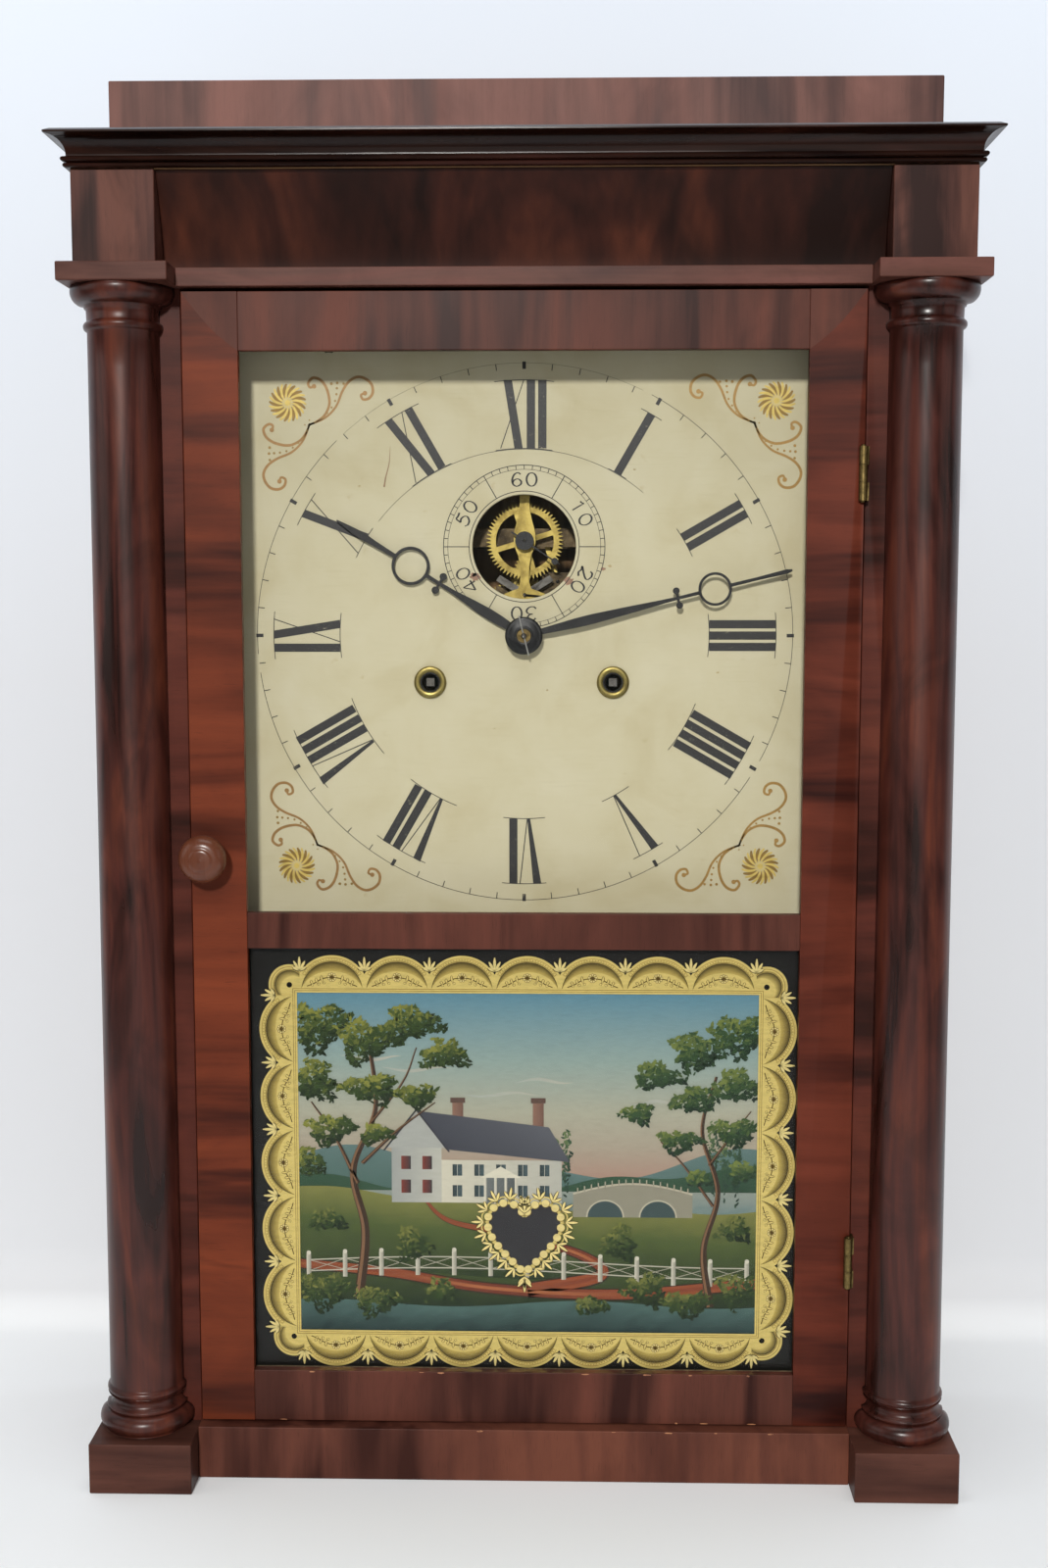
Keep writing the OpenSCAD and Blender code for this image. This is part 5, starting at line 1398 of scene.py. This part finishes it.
    def paint_paths(self, c: Canvas) -> None:
        """Two clay-red paths that widen towards the viewer, with lit and shaded edges."""
        lane = ((0.27, 0.40), (0.33, 0.33), (0.47, 0.29), (0.62, 0.23), (0.66, 0.17), (0.5, 0.125))
        shore = ((0.0, 0.20), (0.2, 0.175), (0.42, 0.13), (0.7, 0.115), (1.0, 0.15))
        for knots, start, end in ((lane, 1.2, 7.5), (shore, 5.0, 6.0)):
            path = smooth_path(self.spot(*np.array(knots).T), 12)
            width = np.linspace(start, end, len(path))
            share = 0.5 + 0.5 * np.sin(np.linspace(0, 9, len(path)))
            c.ribbon(path, width * 1.3, "#33281a", 22)
            c.ribbon(path + (0, 0.12), width, blend_codes("#6f3320", "#8f4a2a", share), 23)
            c.ribbon(path + (0, 0.2), width * 0.35, blend_codes("#a5633c", "#7f3f26", share), 24)

    def block(self, c: Canvas, s0: float, s1: float, t0: float, t1: float, left: str, right: str,
              layer: float) -> None:
        """An upright rectangle between shares of the picture's width and height, shaded left to right."""
        outline = self.spot([s0, s1, s1, s0], [t0, t0, t1, t1])
        c.put(outline, blend_codes(left, right, [0, 1, 1, 0]), [[0, 1, 2, 3]], layer)

    def paint_farmhouse(self, c: Canvas) -> None:
        """A white farmhouse with a gable end, a long wing, two chimneys and a porch, on the left."""
        self.block(c, 0.265, 0.455, 0.385, 0.475, "#cfcab4", "#b3b2a5", 30)
        self.block(c, 0.19, 0.268, 0.385, 0.50, "#9da09a", "#b9b8ab", 31)
        gable = self.spot([0.183, 0.229, 0.275], [0.50, 0.575, 0.50])
        c.polygon(gable, "#a7a9a1", 32)
        roof = self.spot([0.229, 0.275, 0.468, 0.435], [0.578, 0.497, 0.472, 0.545])
        c.put(roof, blend_codes("#3d3f47", "#5a5c62", [0.2, 0, 0.6, 1]), [[0, 1, 2, 3]], 33)
        c.ribbon(self.spot([0.178, 0.229], [0.494, 0.58]), 1.0, "#35363b", 34)
        c.ribbon(self.spot([0.229, 0.28], [0.58, 0.492]), 1.0, "#35363b", 34)
        for s in (0.285, 0.41):
            self.block(c, s, s + 0.017, 0.53, 0.60, "#8c6a58", "#6f5144", 29)
            self.block(c, s - 0.003, s + 0.020, 0.595, 0.606, "#5c463c", "#5c463c", 29.5)
        for s in np.arange(0.285, 0.45, 0.034):
            for t in (0.398, 0.442):
                self.block(c, s, s + 0.015, t, t + 0.024, "#2f3b3c", "#46575a", 35)
                c.ribbon(self.spot([s + 0.0075] * 2, [t, t + 0.024]), 0.25, "#c9c6b4", 36)
        for s, t in ((0.205, 0.405), (0.238, 0.405), (0.205, 0.455), (0.238, 0.455)):
            self.block(c, s, s + 0.015, t, t + 0.028, "#7e3a2e", "#2f3133", 35)
        self.block(c, 0.335, 0.385, 0.383, 0.438, "#6e7370", "#565b5a", 37)
        porch = self.spot([0.328, 0.392, 0.36], [0.438, 0.438, 0.462])
        c.polygon(porch, "#d8d3bd", 39)
        for s in (0.336, 0.352, 0.368, 0.384):
            self.block(c, s - 0.002, s + 0.002, 0.383, 0.438, "#ddd8c4", "#b8b4a2", 38)

    def paint_bridge(self, c: Canvas) -> None:
        """A stone bridge of two arches over the narrow end of the lake, on the right."""
        foot, start, long = 0.345, 0.60, 0.26

        def deck(s: Points) -> Points:
            """The height of the deck, which is half a sine wave, at a share of the width."""
            return 0.40 + 0.03 * np.sin((s - start) / long * np.pi)

        s = np.linspace(start, start + long, 25)
        c.polygon(np.vstack([self.spot(s, deck(s) + 0.012), self.spot(s[::-1], foot)]), "#8f8b78", 26)
        t = np.linspace(0, np.pi, 15)
        for middle in (0.67, 0.785):
            arch = self.spot(middle + 0.04 * np.cos(t), foot + 0.05 * np.sin(t))
            c.polygon(arch, "#3d4d4c", 27)
            c.ribbon(arch, 0.9, "#b7b19a", 28)
        c.ribbon(self.spot(s, deck(s) + 0.014), 1.1, "#bdb69e", 28)
        for post in np.linspace(0.61, 0.85, 17):
            c.ribbon(self.spot(post, deck(post) + (0.012, 0.028)), 0.7, "#a8a28c", 28)

    def paint_fence(self, c: Canvas) -> None:
        """A pale paling fence along the front lawn, with crossed rails between its posts."""
        posts = np.linspace(0.02, 0.98, 13)
        foot = 0.165 + 0.014 * np.sin(posts * 5)
        for high in (0.012, 0.045):
            c.ribbon(self.spot(posts, foot + high), 0.7, "#b9b5a2", 40)
        for a, b, za, zb in zip(posts[:-1], posts[1:], foot[:-1], foot[1:]):
            c.ribbon(self.spot([a, b], [za + 0.012, zb + 0.045]), 0.45, "#a39f8d", 39)
            c.ribbon(self.spot([a, b], [za + 0.045, zb + 0.012]), 0.45, "#a39f8d", 39.5)
        for s, t in zip(posts, foot):
            self.block(c, s - 0.005, s + 0.005, t - 0.01, t + 0.062, "#cfcab6", "#8d8b7d", 41)
            c.disc(*self.spot(s, t + 0.066)[0], 1.3, "#cfcab6", 41.5, 10)

    def paint_foliage(self, c: Canvas, clumps: Points, tones: tuple[str, str, str], layer: float, size: float,
                      lean: float = 0.3) -> None:
        """Paint clumps of leaves, dark underneath and lit from the upper left.

        Args:
            c: where to paint.
            clumps: rows of X, Z, half width, half height and number of dabs.
            tones: dark, middle and light leaf colours.
            layer: the first layer.
            size: the length of a dab.
            lean: the usual slope of the leaves.
        """
        for row, (x, z, wide, high, number) in enumerate(clumps):
            n = int(number)
            t, r = TAU * self.rng.random(n), np.sqrt(self.rng.random(n))
            lobes = 1 + 0.25 * np.sin(3 * t + row) + 0.15 * np.sin(7 * t + 2 * row)
            place = np.stack([x + wide * r * lobes * np.cos(t), z + high * r * lobes * np.sin(t)], -1)
            light = 0.45 + 0.4 * r * np.sin(t) - 0.22 * r * np.cos(t) + 0.18 * self.rng.standard_normal(n)
            order = np.argsort(light + 0.25 * self.rng.standard_normal(n))
            light = np.clip(light[order], 0, 1)
            low = blend_codes(tones[0], tones[1], np.clip(light * 2, 0, 1))
            top = blend_codes(tones[1], tones[2], np.clip(light * 2 - 1, 0, 1))
            colours = np.where(light[:, None] < 0.5, low, top)
            sizes = size * (0.6 + 0.7 * self.rng.random(n))
            angles = lean + 0.9 * self.rng.standard_normal(n)
            layers = layer + 0.3 * (row % 5) + np.arange(n) * 0.06 % 6
            place = place[order]
            keep = np.all((place > np.add(self.low, 1.0)) & (place < np.subtract(self.high, 1.0)), axis=1)
            c.dabs(place[keep], sizes[keep], angles[keep], colours[keep], layers[keep])

    def paint_trees(self, c: Canvas) -> None:
        """A great oak on the left, an ash on the right edge, poplars far off and bushes in front."""
        green = ("#17260f", "#36491f", "#84863a")
        cool = ("#16281a", "#304a28", "#707c3c")
        low = ("#15230f", "#344721", "#77793a")
        far = ("#20362a", "#37523a", "#66774a")
        poplars = ((0.56, 0.43, 0.15), (0.585, 0.425, 0.20), (0.905, 0.42, 0.22), (0.93, 0.42, 0.17),
                   (0.955, 0.41, 0.24))
        for s, t, high in poplars:
            x, z = self.spot(s, t + high / 2)[0]
            self.paint_foliage(c, np.array([(x, z, 2.8, high * 95, 90)]), far, 21, 1.2, 1.4)
        trunks = ((((0.13, 0.10), (0.145, 0.3), (0.12, 0.48), (0.17, 0.66), (0.16, 0.84)), 6.0, 1.5),
                  (((0.13, 0.44), (0.08, 0.58), (0.03, 0.68)), 2.6, 0.8),
                  (((0.14, 0.50), (0.22, 0.60), (0.30, 0.68)), 2.4, 0.7),
                  (((0.16, 0.62), (0.23, 0.74), (0.26, 0.84)), 1.8, 0.6),
                  (((0.90, 0.08), (0.885, 0.25), (0.915, 0.42), (0.88, 0.60), (0.91, 0.76)), 4.6, 1.2),
                  (((0.905, 0.38), (0.84, 0.50), (0.79, 0.57)), 1.9, 0.6),
                  (((0.895, 0.50), (0.95, 0.60), (0.985, 0.66)), 1.7, 0.6))
        for knots, start, end in trunks:
            path = smooth_path(self.spot(*np.array(knots).T), 10)
            width = np.linspace(start, end, len(path))
            c.ribbon(path, width, "#3c2a1c", 44)
            c.ribbon(path - (0.18 * start, 0), width * 0.35, "#7d5c40", 44.6)
        left = ((0.04, 0.90, 18, 13, 520), (0.15, 0.86, 17, 11, 460), (0.25, 0.91, 15, 9, 360),
                (0.32, 0.82, 13, 8, 280), (0.03, 0.74, 14, 11, 360), (0.16, 0.72, 15, 8, 300),
                (0.26, 0.70, 11, 6, 200), (0.07, 0.60, 13, 8, 260), (0.17, 0.585, 9, 5, 130),
                (0.02, 0.50, 9, 8, 170))
        right = ((0.96, 0.88, 15, 11, 380), (0.87, 0.83, 15, 10, 380), (0.78, 0.76, 13, 7, 260),
                 (0.95, 0.73, 13, 9, 300), (0.86, 0.69, 12, 7, 230), (0.74, 0.65, 9, 5, 130),
                 (0.95, 0.60, 12, 7, 220), (0.83, 0.57, 11, 6, 170), (0.97, 0.48, 8, 6, 120),
                 (0.87, 0.46, 7, 4, 80))
        bushes = ((0.05, 0.12, 15, 10, 330), (0.17, 0.09, 13, 8, 260), (0.25, 0.26, 10, 9, 220),
                  (0.31, 0.12, 9, 7, 170), (0.70, 0.27, 9, 10, 220), (0.76, 0.13, 12, 9, 260),
                  (0.85, 0.09, 14, 7, 250), (0.96, 0.13, 11, 10, 250), (0.64, 0.08, 9, 5, 130),
                  (0.06, 0.33, 10, 6, 150), (0.95, 0.31, 9, 7, 150))
        for group, tones, layer, size in ((left, green, 46, 1.7), (right, cool, 46, 1.7),
                                          (bushes, low, 48, 1.5)):
            clumps = np.array([(*self.spot(s, t)[0], wide, high, n) for s, t, wide, high, n in group])
            self.paint_foliage(c, clumps, tones, layer, size)

    def lunette(self, c: Canvas, x: float, z: float, half: float, outward: float) -> None:
        """One scallop of the border, with its rims, shadow and flower spray.

        Its outline is the arc through the two cusps beside it and the top between them.

        Args:
            c: where to paint.
            x: its middle on the picture's edge.
            z: its middle on the picture's edge.
            half: half its width.
            outward: which way it faces, in degrees clockwise from the top.
        """
        def shape(points: Points) -> Points:
            """Turn a shape drawn round the origin, facing up, into its place."""
            return turn(np.atleast_2d(points), outward) + (x, z)

        foot, cusp, top = 1.2, 9.4, 20.2
        radius = (half ** 2 + (top - cusp) ** 2) / (2 * (top - cusp))
        middle = top - radius
        reach = np.degrees(np.arcsin(half / radius))

        def arc(inset: float, share: float = 1.0, count: int = 26) -> Points:
            """An arc so far inside the outline, over a share of its sweep, that stays above the foot."""
            points = ring_points(0, middle, radius - inset, -reach * share, reach * share, count)
            return np.stack([points[:, 0], np.maximum(points[:, 1], foot)], -1)

        c.polygon(shape(np.vstack([arc(0.0), [(half, foot), (-half, foot)]])), GILT, 1)
        for inset, width, tone in ((1.5, 0.3, "#a88a3c"), (3.2, 0.4, "#8f7330")):
            c.ribbon(shape(arc(inset, 0.97)), width, tone, 3)
        for bead in arc(2.35, 0.95, 25):
            c.disc(*shape(bead)[0], 0.34, "#9b7f38", 4, 6)
        shade = radius - 3.6
        sweep = np.degrees(np.arccos(np.clip((foot - middle) / shade, -1, 1)))
        self.crescent(c, *shape((0.0, middle))[0], shade, outward, sweep, 5.6, 90.0, "#cdb461", 26)
        flower = np.array([0.0, 7.6])
        for side in (-1, 1):
            stem = smooth_path(np.array([flower, (side * 5.4, 6.6), (side * 10.2, 3.9),
                                         (side * (half - 4.2), 2.3)]), 5)
            c.ribbon(shape(stem), 0.55, "#5a4519", 5)
            for reach_x, lift in ((4.6, 3.4), (6.0, 8.9), (7.6, 2.6), (9.0, 7.2), (11.2, 2.2), (11.8, 5.8)):
                root = np.array([side * (reach_x - 1.0), 5.4 - reach_x * 0.18])
                tip = np.array([side * reach_x, lift])
                leaf = shape(smooth_path(np.vstack([root, (root + tip) / 2 + (0.4 * side, 0.2), tip]), 3))
                c.ribbon(leaf, np.array([0.4, 0.8, 1.4, 1.8, 1.6, 1.0, 0.3]), "#6d5520", 5)
                c.ribbon(leaf, np.array([0.1, 0.4, 0.8, 1.1, 0.9, 0.4, 0.1]), "#e6cf7e", 6)
        petals = 9
        for petal in shape(flower + ring_points(0, 0, 2.0, 0, 360 - 360 / petals, petals)):
            c.disc(*petal, 0.8, "#7c6228", 7, 8)
            c.disc(*petal, 0.55, "#efdc93", 8, 8)
        c.disc(*shape(flower)[0], 1.15, "#5f4a1c", 9, 10)

    def crescent(self, c: Canvas, x: float, z: float, radius: float, outward: float, sweep: float,
                 wide: float, taper: float, light: str, count: int) -> None:
        """A crescent of shadow inside a round rim, dark at the rim and gilt at its inner edge.

        Its width is the cosine of an angle that grows evenly, from zero in the middle to the taper at
        both ends.

        Args:
            c: where to paint.
            x: the middle of the round.
            z: the middle of the round.
            radius: the crescent's outer radius.
            outward: which way its middle faces, in degrees clockwise from the top.
            sweep: how far it runs to each side, in degrees.
            wide: its width in the middle.
            taper: the angle of the cosine at its ends, in degrees.
            light: the colour of its inner edge.
            count: points along it.
        """
        along = np.linspace(-1, 1, count)
        width = wide * np.cos(np.radians(along * taper)) + 0.05
        t = np.radians(outward + along * sweep)
        way = np.stack([np.sin(t), np.cos(t)], -1)
        edges = [way * np.broadcast_to(reach, (count,))[:, None] + (x, z)
                 for reach in (radius, radius - width)]
        tones = np.repeat([linear(GILT_SHADE), linear(light)], count, axis=0)
        i = np.arange(count - 1)
        c.put(np.vstack(edges), tones, np.stack([i, count + i, count + 1 + i, i + 1], -1), 3)

    def fan(self, c: Canvas, x: float, z: float, outward: float, size: float = 1.0,
            petals: Petals = FIVE_PETALS) -> None:
        """A fan of round-ended petals with dark rims, between two scallops or on the wreath."""
        s = np.linspace(0, 1, 9)
        swell = 0.35 + 1.6 * np.sin(0.1 + s * 2.85) ** 1.4 * (0.45 + 0.55 * s)
        for angle, long in petals:
            petal = turn(np.stack([np.zeros_like(s), s * long * size], -1), angle + outward) + (x, z)
            c.ribbon(petal, (swell + 0.8) * size, "#30270f", 9.5)
            c.ribbon(petal, swell * size, GILT_LIGHT, 10.5)

    def paint_border(self) -> None:
        """Paint the gilt band, seven scallops above and below, five at each side, corner rounds and fans."""
        rounds = Canvas(self.back - 0.004, 0.002)
        (x0, z0), (x1, z1) = self.low, self.high
        for right, up in ((-1, 1), (1, 1), (1, -1), (-1, -1)):
            self.corner_round(rounds, (x0, x1)[right > 0], (z0, z1)[up > 0], right, up)
        rounds.finish("tablet_corner_rounds", TABLET_GILT, "door", "old_brass")
        c = Canvas(self.back - self.gilding, 0.008)
        rules = ((2.9, -0.4, GILT, 1.5), (2.0, 1.7, GILT_LINE_TONE, 2), (0.9, 0.65, GILT_LINE_TONE, 2))
        for outer, inner, tone, layer in rules:
            far, near = (box_corners(np.subtract(self.low, grow), np.add(self.high, grow))
                         for grow in (outer, inner))
            for edge in range(4):
                k = (edge + 1) % 4
                c.polygon(np.array([far[edge], far[k], near[k], near[edge]]), tone, layer)
        columns, rows, inset, over, reach = 7, 5, 2.0, 1.0, 12.2
        wide, tall = (x1 - x0 - 2 * inset) / columns, (z1 - z0 - 2 * inset) / rows
        for k in range(columns + 1):
            for z, side, way in ((z1, 1, 0.0), (z0, -1, 180.0)):
                if k < columns:
                    self.lunette(c, x0 + inset + wide * (k + 0.5), z + side * over, wide / 2, way)
                self.fan(c, x0 + inset + wide * k, z + side * reach, way)
        for k in range(rows + 1):
            for x, side, way in ((x0, -1, 270.0), (x1, 1, 90.0)):
                if k < rows:
                    self.lunette(c, x + side * over, z0 + inset + tall * (k + 0.5), tall / 2, way)
                self.fan(c, x + side * reach, z0 + inset + tall * k, way)
        c.finish("tablet_border", TABLET_GILT, "door", "old_brass")

    def corner_round(self, c: Canvas, x: float, z: float, right: int, up: int) -> None:
        """The round at a corner of the border: rim lines, a dark crescent and a black eye."""
        x, z = x + 3.9 * right, z + 3.9 * up
        way = np.degrees(np.arctan2(right, up))
        c.disc(x, z, 11.8, GILT, 1, 48)
        for radius, width in ((10.3, 0.3), (8.9, 0.4)):
            c.ribbon(ring_points(x, z, radius, way - 125, way + 125, 40), width, GILT_LINE_TONE, 3)
        self.crescent(c, x, z, 8.5, way, 120.0, 4.4, 88.8, "#d6be6c", 30)
        c.disc(x, z, 1.6, "#15110a", 5, 16)

    def paint_heart(self) -> None:
        """Paint the heart-shaped window as a dark grey painted shade, and the gilt wreath of beads and fans round
        it.

        The heart's half outline runs from the notch over a round lobe to the point below.
        """
        knots = np.array([(0.0, 12.2), (3.6, 17.6), (10.4, 20.2), (17.6, 17.2), (21.2, 9.8), (19.4, 1.2),
                          (13.8, -7.0), (6.8, -14.6), (0.0, -21.2)])
        half = smooth_path(knots, 7)
        outline = np.vstack([half, (half * (-1, 1))[::-1][1:-1]])
        # The window is filled with dark grey: painted shade of the dim case behind it.
        window = Canvas(self.back - self.gilding, 0.01)
        window.polygon(outline * 0.97 + self.heart, "#302f31", 1)
        window.finish("tablet_heart_painted_shade", TABLET_PAINT, "door", "painted_glass")
        c = Canvas(self.back - self.gilding - 0.01, 0.01)
        closed = np.vstack([outline, outline[:1]])
        run = np.concatenate([[0], np.cumsum(np.linalg.norm(np.diff(closed, axis=0), axis=1))])
        c.ribbon(closed + self.heart, 1.6, GILT, 1)
        for fans in (True, False):
            places = (np.arange(self.beads) + (0.0 if fans else 0.5)) / self.beads * run[-1]
            spots, ahead, behind = (
                np.stack([np.interp((places + step) % run[-1], run, closed[:, k]) for k in (0, 1)], -1)
                for step in (0.0, 1.5, -1.5))
            slope = ahead - behind
            outward = np.degrees(np.arctan2(-slope[:, 1], slope[:, 0]))
            for (x, z), way in zip(spots + self.heart, outward):
                if fans:
                    self.fan(c, *ring_points(x, z, 2.2, way, way, 1)[0], way, 0.92, THREE_PETALS)
                else:
                    c.ribbon(ring_points(x, z, 3.7, way - 85, way + 85, 12), 0.8, GILT, 2)
                    c.disc(x, z, 2.45, GILT_LINE_TONE, 3, 16)
                    c.disc(x - 0.12, z + 0.12, 2.25, GILT_LIGHT, 4, 16)
        self.fan(c, self.heart[0], self.heart[1] - 25.0, 180.0, 1.0, THREE_PETALS)
        c.finish("tablet_heart_wreath", TABLET_GILT, "door", "old_brass")


# ---------------------------------------------------------------- movement and weights


@dataclass
class Movement:
    """Plates, wheels, escapement, pendulum and strike.

    Attributes:
        strap: how far behind the front plate's bridge its straps begin.
        arbor: radius round an arbor within which a wheel's node is steel.
        square: the same for a drum, whose node is steel only at its winding square.
        wheels: wheels and drums with steel arbors of their own.
        plain: every other node, with its finish.
    """

    strap: float = 6.0
    arbor: float = 5.0
    square: float = 3.2
    wheels: tuple[str, ...] = ("time_second_wheel", "centre_wheel", "third_wheel", "escape_wheel",
                               "strike_second_wheel", "strike_fly", "time_drum", "strike_drum")
    plain: dict[str, Finish] = field(default_factory=lambda: {
        # The back plate's darker brass is painted shade.
        "back_plate": SHADED_PLATE_BRASS, "time_great_wheel": WHEEL_BRASS, "strike_great_wheel": WHEEL_BRASS,
        "minute_wheel": WHEEL_BRASS, "hour_wheel": WHEEL_BRASS, "verge": DULL_STEEL,
        "pendulum_rod": DULL_STEEL, "hammer": DULL_STEEL, "pendulum_bob": AGED_BRASS, "gong": GONG_STEEL})

    def near_arbor(self, node: str) -> Mask:
        """Which faces of a wheel lie near its arbor."""
        joint = next(j for j in frame["joints"] if j["child"] == BODY_OF[node])
        middle = np.array(joint["pos_m"])[::2] / MM
        limit = self.square if "drum" in node else self.arbor
        return lambda p: np.linalg.norm(p[:, ::2] - middle, axis=1) < limit

    def build(self) -> None:
        """Dress each piece of the movement; painted shade makes the front plate's straps darker than its bridge.
        """
        strap = node_box("front_plate")[0][1] + self.strap
        # Faces behind the bridge, on the straps, take the darker brass: painted shade; the bridge stays bright.
        dress_copy("front_plate", WHEEL_BRASS, second=SHADED_PLATE_BRASS, where=lambda p: p[:, 1] > strap)
        for node, finish in self.plain.items():
            dress_copy(node, finish)
        for node in self.wheels:
            dress_copy(node, WHEEL_BRASS, second=DULL_STEEL, where=self.near_arbor(node))


@dataclass
class Weights:
    """The two weights with their pulleys and cords.

    Attributes:
        radius: radius of the cord.
        sides: points round the cord.
        rings: rings of points along a hanging cord.
    """

    radius: float = 1.0
    sides: int = 16
    rings: int = 60

    def build(self) -> None:
        """Dress the iron and the pulleys, and lay the cords."""
        for side in ("time", "strike"):
            dress_copy(side + "_weight", CAST_IRON)
            dress_copy(side + "_pulley", PULLEY_PINE)
            self.hang_cord(side)
        dress_copy("pulley_brackets", CAST_IRON, 0.3)
        dress_copy("weight_cords", CORD)

    def hang_cord(self, side: str) -> None:
        """The hanging length of a cord.

        It is a circle of points carried straight down from the pulley's height to the weight's eye.
        """
        node, joint = side + "_cord_fall", side + "_weight_slide"
        low, high = node_box(node)
        x, y, _ = (low + high) / 2
        z = np.linspace(high[2], low[2], self.rings)[:, None]
        t = np.linspace(0, TAU, self.sides, endpoint=False)
        grid = np.broadcast_arrays(x + self.radius * np.cos(t), y + self.radius * np.sin(t), z)
        last = (self.rings - 1) * self.sides
        faces = [*grid_faces(self.rings, self.sides, wrap=True), range(self.sides),
                 range(last, last + self.sides)]
        piece = add_piece(side + "_cord_hanging", np.stack(grid, -1).reshape(-1, 3), faces, CORD, "case",
                          "cord", smooth=True, closed=True)
        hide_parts(node)
        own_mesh(piece)


# ---------------------------------------------------------------- studio


@dataclass
class Studio:
    """Floor, wall, lights and the camera at the photograph's viewpoint.

    Attributes:
        eye: the camera's place in millimetres.
        yaw: how far it looks to the left, in radians.
        pitch: how far it looks up, in radians.
        lens: focal length for a 36 mm side.
        side: width of the camera's frame, in millimetres.
        room: strength of the room's own light.
        wall: how far behind the clock's middle the backdrop rises.
        bend: radius of the curve between its floor and its wall.
        reach: how far it runs to each side, forward and up.
        lights: name, place, target, side and power of each softbox.
    """

    eye: tuple[float, float, float] = (24.35, -1014.7, 501.8)
    yaw: float = 0.0243
    pitch: float = -0.10367
    lens: float = 40.5
    side: float = 36.0
    room: float = 0.09
    wall: float = 190.0
    bend: float = 45.0
    reach: float = 4000.0
    lights: tuple[tuple, ...] = (("key_softbox", (-430, -5000, 2550), (0, 0, 420), 420, 248.0),
                                 ("left_softbox", (-1700, -700, 1000), (0, 0, 400), 1200, 5.0),
                                 ("right_softbox", (1700, -900, 900), (0, 0, 400), 1200, 3.0),
                                 ("low_softbox", (200, -2300, 260), (0, 0, 260), 1300, 4.0),
                                 ("top_softbox", (0, -330, 2400), (0, -330, 0), 1500, 20.0))

    def build(self) -> None:
        """Set up backdrop, camera, the room's own light and the softboxes."""
        scene = bpy.context.scene
        scene.view_settings.view_transform = "Standard"
        self.add_backdrop()
        self.add_camera()
        world = bpy.data.worlds.new("pale_room")
        scene.world = world
        world.use_nodes = True
        background = world.node_tree.nodes["Background"]
        background.inputs[0].default_value = linear("#dfe7f4")
        background.inputs[1].default_value = self.room
        for light in self.lights:
            self.add_light(*light)

    def add_backdrop(self) -> None:
        """A floor that curves up into a wall: a line, a quarter circle and a line, carried sideways.

        The pale table ends a little in front of the clock, and the floor darkens farther out. From behind
        and below the backdrop is clear, so that the back of the clock can be looked at.
        """
        t = np.linspace(0, np.pi / 2, 13)
        curve = np.stack([self.wall - self.bend + self.bend * np.sin(t),
                          self.bend - self.bend * np.cos(t)], -1)
        run = np.vstack([[(-self.reach, 0.0)], curve, [(self.wall, self.reach)]])
        sides = np.array([-self.reach, self.reach])
        grid = np.stack(np.broadcast_arrays(sides, run[:, :1], run[:, 1:]), -1)
        mesh = bpy.data.meshes.new("backdrop")
        mesh.from_pydata((grid.reshape(-1, 3) * MM).tolist(), [], grid_faces(len(run), 2).tolist())
        mesh.polygons.foreach_set("use_smooth", [True] * len(mesh.polygons))
        g = Graph("pale_paper")
        source = g.add("TexCoord", out="Object")
        high = g.add("SeparateXYZ", {0: source}, 2)
        distance = g.add("VectorMath", {0: source}, "Value", operation="LENGTH")
        away = g.add("MapRange", {0: distance, 1: 0.75, 2: 1.5})
        low = g.add("MapRange", {0: high, 1: 0.0, 2: 0.1, 3: 1.0, 4: 0.0})
        # The wall grows lighter and bluer towards the top: a painted gradient of the light from above.
        rise = g.add("MapRange", {0: high, 1: 0.0, 2: 0.9})
        grey = g.add("ValToRGB", {0: rise},
                     stops=[(0.0, "#eef1f4"), (0.02, "#d0d2d6"), (0.5, "#d3d6dc"), (1.0, "#dae2ee")])
        far_floor = g.add("Math", {0: away, 1: low}, operation="MULTIPLY")
        grey = g.add("Mix", {0: far_floor, 6: grey, 7: linear("#5a5b5d")}, 2, data_type="RGBA")
        clear = g.add("Math", {0: 1.0, 1: g.add("NewGeometry", out="Backfacing")}, operation="SUBTRACT")
        g.set(Base_Color=grey, Roughness=0.8, Specular_IOR_Level=0.1, Alpha=clear)
        mesh.materials.append(g.material)
        backdrop = bpy.data.objects.new("backdrop", mesh)
        bpy.context.scene.collection.objects.link(backdrop)

    def add_camera(self) -> None:
        """The camera, with its axes worked out from yaw and pitch."""
        level = np.cos(self.pitch)
        forward = Vector((-np.sin(self.yaw) * level, np.cos(self.yaw) * level, np.sin(self.pitch)))
        right = Vector((np.cos(self.yaw), np.sin(self.yaw), 0.0))
        up = right.cross(forward)
        data = bpy.data.cameras.new("photograph")
        data.lens = self.lens
        data.sensor_width = self.side
        data.sensor_fit = "AUTO"
        camera = bpy.data.objects.new("photograph", data)
        axes = Matrix((right, up, -forward)).transposed().to_4x4()
        camera.matrix_world = Matrix.Translation(Vector(self.eye) * MM) @ axes
        bpy.context.scene.collection.objects.link(camera)
        bpy.context.scene.camera = camera

    def add_light(self, name: str, place: Sequence[float], target: Sequence[float], size: float,
                  power: float) -> None:
        """A square softbox aimed at a point.

        Args:
            name: its name.
            place: where it stands, in millimetres.
            target: what it points at.
            size: the length of its side.
            power: its power in watts.
        """
        data = bpy.data.lights.new(name, "AREA")
        data.size = size * MM
        data.energy = power
        data.color = linear("#fdfbf7")[:3]
        light = bpy.data.objects.new(name, data)
        light.location = Vector(place) * MM
        light.rotation_euler = (Vector(place) - Vector(target)).to_track_quat("Z", "Y").to_euler()
        bpy.context.scene.collection.objects.link(light)


def main() -> None:
    """Build the studio, then the clock's looks piece by piece."""
    logging.basicConfig(level=logging.INFO, format="%(name)s: %(message)s")
    for part in (Studio(), Case(), Door(), Dial(), Hands(), Tablet(), Movement(), Weights()):
        LOG.info("building %s", type(part).__name__)
        part.build()


if __name__ == "__main__":
    main()
